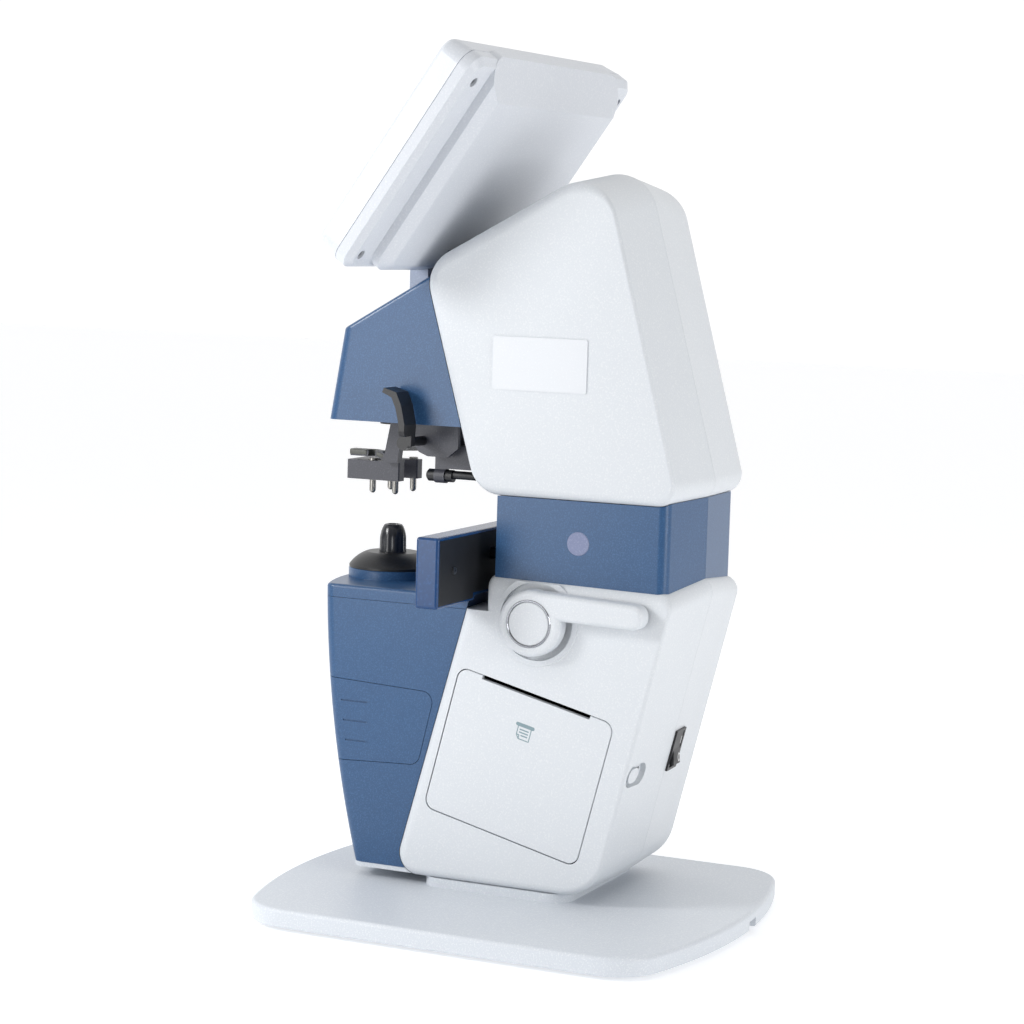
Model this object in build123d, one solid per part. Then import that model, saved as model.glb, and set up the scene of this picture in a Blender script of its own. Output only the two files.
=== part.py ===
"""Auto lensmeter: a C-shaped tower on a flat base, with a lens table, a lens holder and a display.

Tower frame: X = 0 is the tower's centre plane, the operator stands at -Y, Z = 0 is the table top under
the feet. The whole model is shifted sideways at export, so that its own box stands centred on the origin.
"""
from build123d import *
from OCP.BRepFilletAPI import BRepFilletAPI_MakeFillet
import math
import os

os.makedirs("parts", exist_ok=True)

# General
wall = 2.5
seam = 0.2
joint_gap = 0.3
fit = 0.03
running_fit = 0.05

# Base and feet
foot_height = 2.0
foot_radius = 10.0
foot_inset = 30.0
base_width = 211.5
base_length = 247.0
base_thick = 9.5
base_side_bulge = 0.5
base_end_bulge = 19.0
base_corner = 27.0
base_top_round = 2.2
base_under_round = 1.2
base_x = 24.45
base_y = -5.0
cord_x = 8.5
cord_width = 11.0
cord_height = 5.0
cord_hole_y = 14.0
cord_hole_radius = 6.0
grommet_bore = 3.5
grommet_flange = 8.0

# Plinths under the two uprights
plinth_height = 4.8
plinth_half = 49.0
plinth_front = -52.0
plinth_rear = 31.0
plinth_corner = 12.0
plinth_wall = 3.5
column_foot_height = 7.7
column_foot_half = 27.5
column_foot_front = -95.0
column_foot_rear = -69.0
column_foot_corner = 8.0
ledge_thick = 2.2
ledge_proud = 0.5

# White housings, side outlines as (Y, Z) at the flat side faces
housing_half = 50.2
lower_outline = [(-24.9, 177.0), (84.9, 174.7), (46.6, 16.3), (-68.2, 16.3)]
lower_radii = [0.0, 8.0, 25.0, 11.5]
lower_crowns = [4.3, 2.6, 0.0, 4.3]
lower_rims = [6.5, 2.0, 4.5, 6.5]
upper_outline = [(-59.2, 332.9), (39.6, 387.1), (85.8, 218.2), (-26.4, 218.2)]
upper_radii = [18.5, 22.0, 10.0, 18.0]
upper_crowns = [4.3, 3.0, 0.0, 4.3]
upper_rims = [7.0, 1.8, 4.5, 6.5]
notch_floor = 158.9
notch_back = -17.5
notch_round = 3.5
window_half = 38.0
window_front = -8.0
window_rear = 66.0
arm_window_half = 36.0
arm_window_low = 112.0
arm_window_high = 134.0
head_window_low = 256.0
head_window_high = 312.0
boss_radius = 4.5
boss_spots = {"lower": [(-51.0, 34.0), (66.0, 160.0)], "upper": [(62.0, 231.0), (20.0, 366.0)]}
boss_screw_radius = 1.5
boss_screw_head = 3.0
boss_screw_length = 16.0
boss_recess = 9.0

# Neck between the housings
neck_half = housing_half - 3.0
neck_front = -14.1
neck_rear = 78.7
neck_ridge = 3.6
neck_corner = 5.0
neck_gap = 0.4
plug_radius = 6.0
plug_y = 31.1
plug_z = 196.6
plug_proud = 0.3

# Front column
column_half = neck_half
column_upright_y = -111.2
column_upright_z = 175.2
column_sweep = 600.0
column_crown = 9.5
column_corner = 6.0
column_seam_z = 158.5
column_top = 165.3
cap_round = 1.8
cover_outline = [(-130.0, 117.1), (-46.3, 113.3), (-55.2, 74.3), (-130.0, 71.1)]
cover_round = 6.0
grip_levels = [104.3, 93.8, 83.4]
grip_rear = -85.5
grip_width = 0.8
grip_depth = 0.5

# Measuring axis and nosepiece
axis_y = -96.6
ring_radius = 23.4
ring_top = 170.3
dome_radius = 23.2
dome_top_radius = 14.0
dome_top = 178.6
nose_base_radius = 7.25
nose_base = 177.0
nose_shoulder = 186.0
nose_profile = [(7.1, 186.0), (6.45, 189.5), (5.2, 192.3), (4.5, 193.4)]
nose_tip = 193.4
nose_bore = 4.0
nose_flutes = 12
flute_radius = 0.6
nose_window_z = 187.0
nose_window_thick = 1.5
sensor_radius = 14.0
sensor_bottom = 104.0
sensor_shoulder = 168.0
sensor_neck = 7.0
sensor_board_half = 16.0
board_thick = 1.6

# Inner metal frame
frame_left = -22.0
frame_right = -10.0
frame_front = -6.0
frame_rear = 25.0
frame_top = 330.0
foot_plate_half = 40.0
foot_plate_front = -46.0
foot_plate_thick = 8.0
frame_screw_x = 32.0
frame_screw_front = -38.0
frame_screw_rear = 17.0
frame_screw_radius = 2.5
frame_screw_head = 5.0
frame_screw_sink = 4.5
arm_thick = 10.0
lower_arm_z = 118.0
lower_arm_front = -111.0
lower_arm_pad = -76.0
lower_arm_half = 21.0
upper_arm_z = 282.0
upper_arm_front = -107.0
upper_arm_half = 21.0
bearing_low = 179.0
bearing_high = 193.0
bearing_front = 2.0
bearing_half = 36.0

# Lens table
table_half = 92.0
table_front = -37.5
table_rear = -24.9
table_low = 163.4
table_notch = column_half + 1.2
table_notch_top = 166.2
table_high = 199.2
table_round = 1.5
table_border = 1.5
insert_depth = 1.2
table_screw_x = 74.5
table_screw_z = 181.5
table_screw_radius = 1.8
table_screw_length = 6.0
rod_radius = 3.0
rod_x = 28.0
rod_z = 186.0
rod_sunk = 8.0
rod_rear = 52.0
rack_near = 22.0
rack_far = 14.0
rack_top = 174.0
rack_end = 42.0

# Table lever and its pinion
lever_y = 10.8
lever_z = 155.8
lever_back = housing_half + 1.3
lever_face = lever_back + 8.5
lever_hub = 17.0
lever_arm_top = 172.4
lever_tip_top = 169.5
lever_arm_low = 158.5
lever_tip_low = 156.9
lever_tip = 72.0
lever_tip_round = 5.9
lever_round = 2.8
lever_ring = 12.25
lever_ring_wall = 1.1
lever_ring_proud = 0.4
lever_cap_depth = 4.0
shaft_radius = 4.0
shaft_end = 5.0
gear_module = 1.0
gear_teeth = 24
tooth_width = 1.1
tooth_tip = 1.0
tooth_root = 1.35
pinion_clear = 0.5
dish_radius = 20.0
dish_depth = 2.2
dish_backing = 2.0
dish_rim = 23.0
dish_raise = 0.4
shaft_hole = 4.6
lever_plate_near = 27.0
lever_plate_far = 4.0
lever_plate_thick = 6.0
lever_plate_low = 145.0

# Printer in the right lower housing: local u runs rearward along the slot, v up, w out
door_corner_y = -31.0
door_corner_z = 128.7
door_turn = 13.9
door_width = 88.6
door_height = 77.0
door_thick = 3.0
door_gap = 0.5
door_round = 5.5
slot_start = 13.3
slot_length = 62.0
slot_height = 2.0
door_pin_up = 6.0
door_pin_in = 2.6
door_pin_radius = 1.2
door_pin_length = 3.0
door_ear = 4.0
door_ear_half = 2.4
platen_radius = 4.0
platen_length = 57.0
platen_down = 10.0
platen_in = 9.0
platen_shaft = 1.5
platen_lug = 3.0
tray_margin = 7.0
tray_depth = housing_half - frame_right - 4.2
tray_wall = 1.6
tray_back_clear = 9.0
roll_radius = 20.0
roll_core = 6.0
roll_width = 57.0
roll_down = 41.0
spindle_radius = 5.7
head_bar_thick = 6.0

# Door release and power switch on the rear facets
slider_x = 37.6
slider_z = 80.5
slider_pocket = 22.0
slider_pocket_high = 12.0
slider_pocket_deep = 3.0
slider_slot = 18.0
slider_slot_high = 5.0
slider_knob = 9.0
slider_knob_high = 8.0
slider_shift = 2.4
slider_tongue = 6.0
slider_stem = 7.0
slider_keeper = 9.0
switch_x = -8.4
switch_z = 87.0
switch_width = 15.0
switch_height = 22.0
switch_bezel = 1.2
switch_body_width = 12.8
switch_body_height = 19.8
switch_depth = 18.0
rocker_half = 8.4
rocker_width = 10.4
rocker_pivot_deep = 4.0
rocker_rise = 5.0
rocker_tilt = 8.0
rocker_pin = 1.2
rocker_clear = 0.4

# Head above the gap
head_half = neck_half
head_low = 251.5
head_front_low = -111.6
head_front_lean = 0.1626
head_crown = 9.5
head_slope_y = -100.5
head_slope_z = 300.9
head_slope = 30.4
head_edge = 2.0
head_roof_radius = 172.0
barrel_radius = 8.5
barrel_low = 247.4
barrel_flange = 10.0
barrel_flange_thick = 1.5
barrel_wall = 1.5
lens_thick = 4.0
led_board_half = 13.0

# Lens holder under the head
holder_half = 14.0
holder_leg = 6.5
holder_front = -115.3
holder_rear = -87.0
holder_bridge = 8.0
holder_low = 217.8
holder_high = 228.0
holder_cap = 3.0
pin_x = 10.6
pin_spread = 6.75
pin_centre_y = -97.5
pin_radius = 1.75
pin_tip = 210.5
pin_head = 2.4
pin_head_thick = 1.2
strut_far = 13.4
strut_near = 18.4
strut_low_y = -90.3
strut_high_y = -87.0
strut_deep = 7.0
strut_top = 281.0
carriage_low = 273.0
guide_y = -72.0
guide_radius = 3.0
guide_block = 6.0
tab_front = -117.0
tab_rear = -99.0
tab_low = 230.0
tab_thick = 3.2
tab_far = 4.6
tab_near = 12.6
lever_pivot_y = -65.0
lever_pivot_z = 242.0
pivot_radius = 2.5
blade_far = 50.0
blade_near = 63.5
blade_stem = 54.5
blade_wide_up = 4.0
blade_corner = 3.0
crank_far = 22.5
crank_thick = 4.0
bracket_far_ear = 17.5
bracket_near_ear = 29.0
bracket_thick = 2.5
bracket_rear = -44.5
bracket_low = 234.0
marker_x = 20.0
marker_z = 223.4
marker_radius = 3.25
marker_front = -67.0
marker_rear = -52.0
marker_rod = 2.2
marker_rod_end = -22.0
marker_rod_rise = 0.7
hanger_front = -62.0
hanger_rear = -56.0
hanger_wall = 0.7
carrier_rear = -38.0
carrier_low = 227.4

# Display: local u runs up the screen, n to its back
display_y = -93.24
display_z = 346.54
display_lean = 34.9
display_half = 100.5
display_low = -4.6
display_high = 121.5
display_corner = 9.0
display_seam = 13.5
seam_groove = 0.4
display_draft = 8.0
display_front_round = 3.5
display_rim = 19.3
display_band = 22.5
display_band_inset = 3.5
display_wall = 2.4
raised_half = 80.0
raised_step = 27.0
raised_shoulder = 74.2
raised_back = 32.0
raised_soft = 3.0
raised_corner = 10.0
raised_low = -1.0
raised_chamfer_u = 104.0
raised_top_u = 118.0
display_screw_x = 92.0
display_screw_low = 5.0
display_screw_high = 108.6
display_screw_hole = 2.6
screen_half = 78.5
screen_low = 15.0
screen_high = 105.0
panel_margin = 4.0
panel_depth = 3.0
panel_thick = 5.5
display_axis_u = 5.6
display_axis_n = 24.1
hinge_radius = 2.5
knuckle_radius = 6.0
neck_post_half = 20.0
neck_post_front = -80.5
neck_post_rear = -70.0
neck_pad_front = -86.0
neck_pad_rear = -60.0
neck_pad_thick = 5.0
lug_width = 6.0
lug_radius = 6.5

# Bare plate on the upper housing's side
plate_front = -17.2
plate_rear = 34.2
plate_low = 272.2
plate_high = 299.0
plate_thick = 0.6

# Electronics
main_board_front = -18.0
main_board_rear = 42.0
main_board_low = 226.0
main_board_high = 326.0
standoff = 8.0
standoff_radius = 3.0
supply_front = -22.0
supply_rear = 34.0
supply_low = 36.0
supply_high = 112.0
supply_thick = 20.0

# Places worked out from the sizes above
base_top = foot_height + base_thick
plinth_top = base_top + plinth_height
foot_plate_top = base_top + foot_plate_thick
column_low = base_top + column_foot_height
upper_floor = upper_outline[3][1]
lower_shape = (lower_radii, lower_crowns, lower_rims)
upper_shape = (upper_radii, upper_crowns, upper_rims)
lower_floor = lower_outline[3][1]
pitch_radius = gear_module * gear_teeth / 2
pitch_line = lever_z + pitch_radius
box_low_x = -display_half
box_high_x = base_x + base_width / 2
shift_x = (box_low_x + box_high_x) / 2
shift_y = base_y


# Simple solids
def span(x0, x1, y0, y1, z0, z1):
    """A block between two limits on each axis."""
    middle = Pos((x0 + x1) / 2, (y0 + y1) / 2, (z0 + z1) / 2)
    return middle * Box(abs(x1 - x0), abs(y1 - y0), abs(z1 - z0))


def rod_along_x(radius, x0, x1, y, z):
    return Pos((x0 + x1) / 2, y, z) * Rot(0, 90, 0) * Cylinder(radius, abs(x1 - x0))


def rod_along_y(radius, y0, y1, x, z):
    return Pos(x, (y0 + y1) / 2, z) * Rot(90, 0, 0) * Cylinder(radius, abs(y1 - y0))


def rod_along_z(radius, z0, z1, x, y):
    return Pos(x, y, (z0 + z1) / 2) * Cylinder(radius, abs(z1 - z0))


def face_yz(points, x=0.0):
    return make_face(Polyline([(x, y, z) for y, z in points], close=True))


def slab_yz(points, x0, x1):
    """A side outline given as (Y, Z), from one X to another."""
    return extrude(face_yz(points, x0), x1 - x0, dir=(1, 0, 0))


def rounded_plate(x0, x1, y0, y1, z0, z1, radius):
    plan = Pos((x0 + x1) / 2, (y0 + y1) / 2, z0) * RectangleRounded(x1 - x0, y1 - y0, radius)
    return extrude(plan, z1 - z0, dir=(0, 0, 1))


def both_sides(part):
    return part + mirror(part, about=Plane.YZ)


def save(part, name, place=Pos(-shift_x, -shift_y, 0)):
    moved = place * part
    export_step(moved, f"parts/{name}.step")


# Outlines
def inset(points, gap):
    """A clockwise (Y, Z) outline moved inwards by a gap."""
    return shifted(points, [gap] * len(points))


def shifted(points, gaps):
    """A clockwise (Y, Z) outline with each side moved inwards by its own gap."""
    moved = []
    count = len(points)
    for i in range(count):
        before, here, after = points[i - 1], points[i], points[(i + 1) % count]
        d1 = direction(before, here)
        d2 = direction(here, after)
        n1 = (d1[1] * gaps[i - 1], -d1[0] * gaps[i - 1])
        n2 = (d2[1] * gaps[i], -d2[0] * gaps[i])
        cross = d1[0] * d2[1] - d1[1] * d2[0]
        t = ((n2[0] - n1[0]) * d2[1] - (n2[1] - n1[1]) * d2[0]) / cross
        moved.append((here[0] + n1[0] + d1[0] * t, here[1] + n1[1] + d1[1] * t))
    return moved


def direction(a, b):
    length = math.hypot(b[0] - a[0], b[1] - a[1])
    return ((b[0] - a[0]) / length, (b[1] - a[1]) / length)


# White housings
def half_block(points, radii, crowns, rims, gap=0.0):
    """Half a housing's solid, from the centre plane to its side, moved inwards by a gap."""
    half = housing_half - gap
    side = shifted(points, [gap] * len(points))
    middle = shifted(side, [-crown for crown in crowns])
    outer = [Vector(half, y, z) for y, z in side]
    centre = [Vector(0, y, z) for y, z in middle]
    count = len(points)
    faces = [Face(Wire.make_polygon(outer)), Face(Wire.make_polygon(centre))]
    for i in range(count):
        j = (i + 1) % count
        faces.append(Face(Wire.make_polygon([outer[i], outer[j], centre[j], centre[i]])))
    body = Part() + Solid(Shell(faces))
    for corner, radius in zip(outer, radii):
        if radius > 0:
            body = fillet(edge_at(body, corner), radius - gap)
    return rounded_rim(body, side, [max(rim - gap, 0.4) for rim in rims], half)


def edge_at(body, corner):
    """The edge that runs inwards from a corner of the side face."""
    ends = [(e, p) for e in body.edges() for p in (e @ 0, e @ 1) if abs((e @ 0).X - (e @ 1).X) > 10]
    return min(ends, key=lambda pair: (pair[1] - corner).length)[0]


def rounded_rim(body, side, rims, half):
    """Rounds the edge of the side face, with a radius of its own along each of its straight sides."""
    directions = [direction(here, side[(i + 1) % len(side)]) for i, here in enumerate(side)]
    rim_edges = [e for e in body.edges() if abs((e @ 0).X - half) < 1e-3 and abs((e @ 1).X - half) < 1e-3]
    maker = BRepFilletAPI_MakeFillet(body.solids()[0].wrapped)
    ends = []
    for edge in rim_edges:
        if edge.geom_type == GeomType.LINE:
            spot = edge @ 0.5

            def off(i):
                (y, z), (dy, dz) = side[i], directions[i]
                return abs((spot.Y - y) * dz - (spot.Z - z) * dy)

            radius = rims[min(range(len(side)), key=off)]
            maker.Add(radius, edge.wrapped)
            ends += [(edge @ 0, radius), (edge @ 1, radius)]
    for edge in rim_edges:
        if edge.geom_type != GeomType.LINE:
            start = min(ends, key=lambda end: (end[0] - edge @ 0).length)[1]
            finish = min(ends, key=lambda end: (end[0] - edge @ 1).length)[1]
            maker.Add(start, finish, edge.wrapped)
    maker.Build()
    return Part() + Solid(maker.Shape())


def rear_plane(outline, x, z, rear_crown=lower_crowns[1]):
    """A plane on a housing's rear facet at one X and Z: local x runs along X, z points out."""
    (top_y, top_z), (low_y, low_z) = outline[1], outline[2]
    lean = (top_y - low_y) / (top_z - low_z)
    side = 1 if x > 0 else -1
    length = math.hypot(1, lean)
    tilt = side * rear_crown * length / housing_half
    crown = rear_crown * (1 - abs(x) / housing_half) * length
    y = low_y + (z - low_z) * lean + crown
    return Plane(origin=(x, y, z), x_dir=(1, -tilt, 0), z_dir=(tilt, 1, -lean))


def notch_cut(grow=0.0):
    """The notch in front of the neck, where the lens table sits, with its rounded lip."""
    back = notch_back + grow
    points = [(-80, notch_floor - grow), (back, notch_floor - grow), (back, 200), (-80, 200)]
    return slab_yz(points, -2 * housing_half, 2 * housing_half)


def boss_row(spots):
    tubes = [rod_along_x(boss_radius, seam / 2, housing_half - wall, y, z) for y, z in spots]
    return Part() + tubes


def shell_half(outline, shape, spots):
    """One half's shell with its inner screw bosses, still closed in front and below."""
    outer = half_block(outline, *shape)
    inner = half_block(outline, *shape, wall)
    hollow = inner - boss_row(spots)
    shell = outer - hollow
    return shell - span(-1, seam / 2, -300, 300, 0, 500)


def screw_holes(spots, mirrored):
    """Thread holes in the right half, or clearance holes with a deep recess in the left."""
    cuts = Part()
    for y, z in spots:
        if mirrored:
            cuts += rod_along_x(boss_screw_radius + 0.2, -boss_recess - 1, 0, y, z)
            cuts += rod_along_x(boss_screw_head + 0.4, -2 * housing_half, -boss_recess, y, z)
        else:
            cuts += rod_along_x(boss_screw_radius + fit, 0, boss_screw_length, y, z)
    return cuts


def boss_screws():
    screws = Part()
    for spots in boss_spots.values():
        for y, z in spots:
            shank = rod_along_x(boss_screw_radius, -boss_recess, boss_screw_length - boss_recess, y, z)
            head = rod_along_x(boss_screw_head, -boss_recess - 2, -boss_recess, y, z)
            screws += shank + head
    return screws


def door_plane():
    turn = math.radians(door_turn)
    return Plane(origin=(housing_half, door_corner_y, door_corner_z),
                 x_dir=(0, math.cos(turn), -math.sin(turn)), z_dir=(1, 0, 0))


def door_block(u0, u1, v0, v1, w0, w1):
    block = Pos((u0 + u1) / 2, (v0 + v1) / 2, (w0 + w1) / 2) * Box(u1 - u0, v1 - v0, w1 - w0)
    return door_plane().location * block


def door_rod(radius, u0, u1, v, w):
    rod = Pos((u0 + u1) / 2, v, w) * Rot(0, 90, 0) * Cylinder(radius, u1 - u0)
    return door_plane().location * rod


def door_outline(gap, radius, w0, w1):
    face = Pos(door_width / 2, -door_height / 2, w0) * RectangleRounded(
        door_width + 2 * gap, door_height + 2 * gap, radius)
    return door_plane().location * extrude(face, w1 - w0, dir=(0, 0, 1))


def pocket_solid(x, z, length, height, w0, w1):
    plane = rear_plane(lower_outline, x, z)
    face = Pos(0, 0, w0) * SlotOverall(length, height)
    return plane.location * extrude(face, w1 - w0, dir=(0, 0, 1))


def switch_block(width, height, w0, w1):
    plane = rear_plane(lower_outline, switch_x, switch_z)
    return plane.location * (Pos(0, 0, (w0 + w1) / 2) * Box(width, height, w1 - w0))


def lower_housings():
    outline, shape, spots = lower_outline, lower_shape, boss_spots["lower"]
    outer = half_block(outline, *shape) - notch_cut()
    lip = [e for e in outer.edges() if abs((e @ 0.5).Y - notch_back) < 0.01 and (e @ 0.5).Z > notch_floor + 15
           and abs((e @ 0).X - (e @ 1).X) > 10]
    outer = fillet(lip, notch_round)
    inner = half_block(outline, *shape, wall) - notch_cut(wall)
    shell = outer - (inner - boss_row(spots)) - span(-1, seam / 2, -300, 300, 0, 500)
    shell -= span(-1, window_half, window_front, window_rear, notch_floor + 9, 200)
    shell -= span(-1, foot_plate_half + 1, foot_plate_front - 1, frame_rear + 1, 0, lower_floor + 2 * wall)
    shell -= span(-1, arm_window_half, -90, -20, arm_window_low, arm_window_high)
    left = mirror(shell, about=Plane.YZ) - screw_holes(spots, True)
    left -= switch_block(switch_body_width + 0.2, switch_body_height + 0.2, -switch_depth - 2, 5)
    right = shell - screw_holes(spots, False)
    right -= span(rack_far - 1, rack_near + 1, notch_back - 2, notch_back + wall + 1, pitch_line - 2, rack_top + 1)
    dish = rod_along_x(dish_rim, housing_half - 1, housing_half + dish_raise, lever_y, lever_z)
    dish = fillet([e for e in dish.edges() if (e @ 0).X > housing_half], dish_raise * 0.9)
    right += dish & slab_yz(inset(outline, 0.6), 0, 2 * housing_half)
    backing = rod_along_x(dish_rim, housing_half - wall - dish_backing, housing_half - wall / 2, lever_y, lever_z)
    right += backing & half_block(outline, *shape, wall / 2)
    right -= rod_along_x(dish_radius, housing_half - dish_depth, housing_half + 5, lever_y, lever_z)
    right -= rod_along_x(shaft_hole, housing_half - 10, housing_half + 5, lever_y, lever_z)
    right -= door_outline(door_gap, door_round + door_gap, -wall - 1, 2)
    right += hinge_bosses()
    right -= door_pin_bore()
    pad = pocket_solid(slider_x, slider_z, slider_pocket + 2 * wall, slider_pocket_high + 2 * wall,
                       -slider_pocket_deep - wall, -wall / 2)
    right += pad & half_block(outline, *shape)
    right -= pocket_solid(slider_x, slider_z, slider_pocket, slider_pocket_high, -slider_pocket_deep, 3)
    slot = Pos(0, 0, -slider_pocket_deep - wall) * Box(slider_slot, slider_slot_high, 2 * wall + 1)
    right -= rear_plane(outline, slider_x, slider_z).location * slot
    return right, left


def hinge_bosses():
    """Two small blocks behind the right wall that carry the door's pins."""
    v0 = -door_height + door_pin_up - 3
    v1 = -door_height + door_pin_up + 3
    reach = door_pin_length + 1.2
    bosses = Part()
    for u0, u1 in ((-door_gap - reach, -door_gap), (door_width + door_gap, door_width + door_gap + reach)):
        bosses += door_block(u0, u1, v0, v1, -door_pin_in - 3, -wall + 0.5)
    return bosses


def door_pin_bore():
    reach = door_pin_length + joint_gap
    return door_rod(door_pin_radius + running_fit, -reach, door_width + reach, -door_height + door_pin_up,
                    -door_pin_in)


def upper_housings():
    outline, shape, spots = upper_outline, upper_shape, boss_spots["upper"]
    shell = shell_half(outline, shape, spots)
    shell -= span(-1, window_half, window_front, window_rear, upper_floor - 5, upper_floor + 2 * wall)
    shell -= span(-1, arm_window_half, -90, -30, head_window_low, head_window_high)
    left = mirror(shell, about=Plane.YZ) - screw_holes(spots, True)
    right = shell - screw_holes(spots, False)
    rod_z = marker_z + marker_rod_rise
    right -= rod_along_y(marker_rod + 1, -60, -10, marker_x, rod_z)
    return right, left


# Neck
def neck_outline(gap):
    half, front, rear = neck_half - gap, neck_front + gap, neck_rear - gap
    points = [(0, front), (half, front), (half, rear), (0, rear + neck_ridge), (0, front)]
    plan = make_face(Polyline(points))
    corner = [v for v in plan.vertices() if v.X > 1 and v.Y > 0]
    return fillet(corner, neck_corner - gap)


def housing_cutter(outline, shape):
    return both_sides(half_block(outline, *shape, -joint_gap))


def neck_covers():
    low, high = lower_outline[1][1] - 6, upper_floor + 4
    outer = extrude(Pos(0, 0, low) * neck_outline(0), high - low, dir=(0, 0, 1))
    inner = extrude(Pos(0, 0, low) * neck_outline(wall), high - low, dir=(0, 0, 1))
    cover = outer - inner - half_block(lower_outline, *lower_shape, -0.05)
    cover -= half_block(upper_outline, *upper_shape, -neck_gap)
    cover -= span(-1, seam / 2, -300, 300, 0, 500)
    cover -= rod_along_x(plug_radius + fit, 0, 60, plug_y, plug_z)
    cover -= rod_along_y(rod_radius + 0.8, neck_front - 5, neck_front + 10, rod_x, rod_z)
    cover = max(cover.solids(), key=lambda s: s.volume)
    return cover, mirror(cover, about=Plane.YZ)


def neck_plugs():
    face = neck_half + plug_proud
    plug = rod_along_x(plug_radius, neck_half - wall, face, plug_y, plug_z)
    plug = chamfer([e for e in plug.edges() if (e @ 0).X > neck_half], plug_proud * 0.8)
    return both_sides(plug)


# Column
def column_front(z):
    return column_upright_y + column_sweep - math.sqrt(column_sweep ** 2 - (z - column_upright_z) ** 2)


def column_section(z, gap):
    half, front = column_half - gap, column_front(z) + gap
    crest = ThreePointArc((-half, front), (0, front - column_crown), (half, front))
    rest = Polyline((half, front), (half, -10), (-half, -10), (-half, front))
    plan = make_face(crest.edges() + rest.edges())
    corners = [v for v in plan.vertices() if v.Y < -50]
    return Pos(0, 0, z) * fillet(corners, column_corner - gap)


def column_solid(low, high, gap=0.0):
    steps = 4 if high - low > 50 else 2
    levels = [low + (high - low) * i / (steps - 1) for i in range(steps)]
    return loft([column_section(z, gap) for z in levels])


def column_parts():
    outer = column_solid(column_low, column_seam_z - seam)
    inner = column_solid(column_low + wall, column_seam_z + 1, wall)
    cutter = housing_cutter(lower_outline, lower_shape)
    shell = outer - inner - cutter
    shell = max(shell.solids(), key=lambda s: s.volume)
    region = slab_yz(cover_outline, -60, 60)
    rear_corners = [e for e in region.edges() if (e @ 0.5).Y > -60 and abs((e @ 0).X - (e @ 1).X) > 50]
    region = fillet(rear_corners, cover_round)
    fitted = slab_yz(inset(cover_outline, joint_gap), -60, 60)
    rear_corners = [e for e in fitted.edges() if (e @ 0.5).Y > -60 and abs((e @ 0).X - (e @ 1).X) > 50]
    fitted = fillet(rear_corners, cover_round - joint_gap)
    cover = shell & fitted
    column = shell - region
    for z in grip_levels:
        front = column_front(z) + column_corner
        groove = span(column_half - grip_depth, column_half + 1, front, grip_rear, z - grip_width / 2,
                      z + grip_width / 2)
        cover -= both_sides(groove)
    return column, cover


def column_cap():
    cap = column_solid(column_seam_z, column_top)
    top_edges = [e for e in cap.edges() if (e @ 0).Z > column_top - 0.01 and (e @ 1).Z > column_top - 0.01]
    cap = fillet([e for e in top_edges if (e @ 0.5).Y < -20], cap_round)
    cap -= housing_cutter(lower_outline, lower_shape)
    cap -= rod_along_z(sensor_radius + fit, column_seam_z - 1, column_top + 1, 0, axis_y)
    return max(cap.solids(), key=lambda s: s.volume)


# Nosepiece group, turned about the measuring axis
def turned(points):
    face = make_face(Polyline([(x, 0, z) for x, z in points], close=True))
    return Pos(0, axis_y, 0) * revolve(face, Axis.Z)


def nosepiece_ring():
    ring = turned([(sensor_radius + fit, column_top), (ring_radius, column_top), (ring_radius, ring_top),
                   (sensor_radius + fit, ring_top)])
    rims = ring.edges().filter_by(GeomType.CIRCLE)
    return chamfer([e for e in rims if (e @ 0).Z > ring_top - 0.01 and e.radius > ring_radius - 0.1], 0.6)


def lens_dome():
    start, end = (dome_radius, ring_top + 1.2), (dome_top_radius, dome_top)
    shoulder = (dome_radius - 3.2, ring_top + 4.8)
    hole = nose_base_radius + 0.1
    curve = ThreePointArc(*[(x, 0, z) for x, z in (start, shoulder, end)])
    cavity = ring_top + 1
    rest = Polyline([(x, 0, z) for x, z in (end, (hole, dome_top), (hole, cavity), (sensor_radius + 1, cavity),
                                            (sensor_radius + 1, ring_top), (dome_radius, ring_top), start)])
    face = make_face(curve.edges() + rest.edges())
    return Pos(0, axis_y, 0) * revolve(face, Axis.Z)


def sensor_tube():
    bore = nose_bore
    outer = turned([(bore, sensor_bottom), (sensor_radius, sensor_bottom), (sensor_radius, sensor_shoulder),
                    (sensor_neck, sensor_shoulder), (sensor_neck, nose_base), (bore, nose_base)])
    collar = turned([(sensor_radius, lower_arm_z + arm_thick), (sensor_radius + 3, lower_arm_z + arm_thick),
                     (sensor_radius + 3, lower_arm_z + arm_thick + 3), (sensor_radius, lower_arm_z + arm_thick + 3)])
    return outer + collar


def nosepiece():
    seat = nose_window_z + nose_window_thick
    body = turned([(nose_bore, nose_base), (nose_base_radius, nose_base)] + nose_profile
                  + [(nose_bore - 1, nose_tip), (nose_bore - 1, seat), (nose_bore, seat)])
    for i in range(nose_flutes):
        angle = math.radians(360 * i / nose_flutes)
        x, y = nose_base_radius * math.cos(angle), axis_y + nose_base_radius * math.sin(angle)
        body -= rod_along_z(flute_radius, dome_top + 0.5, nose_shoulder - 0.5, x, y)
    return body


def nosepiece_window():
    return rod_along_z(nose_bore - fit, nose_window_z, nose_window_z + nose_window_thick, 0, axis_y)


def sensor_board():
    half = sensor_board_half
    board = span(-half, half, axis_y - 13, axis_y + 20, sensor_bottom - board_thick, sensor_bottom)
    chip = span(-6, 6, axis_y - 6, axis_y + 6, sensor_bottom - board_thick - 1.5, sensor_bottom - board_thick)
    plug = span(-8, 8, axis_y + 12, axis_y + 18, sensor_bottom - board_thick - 5, sensor_bottom - board_thick)
    return board + chip + plug


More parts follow.
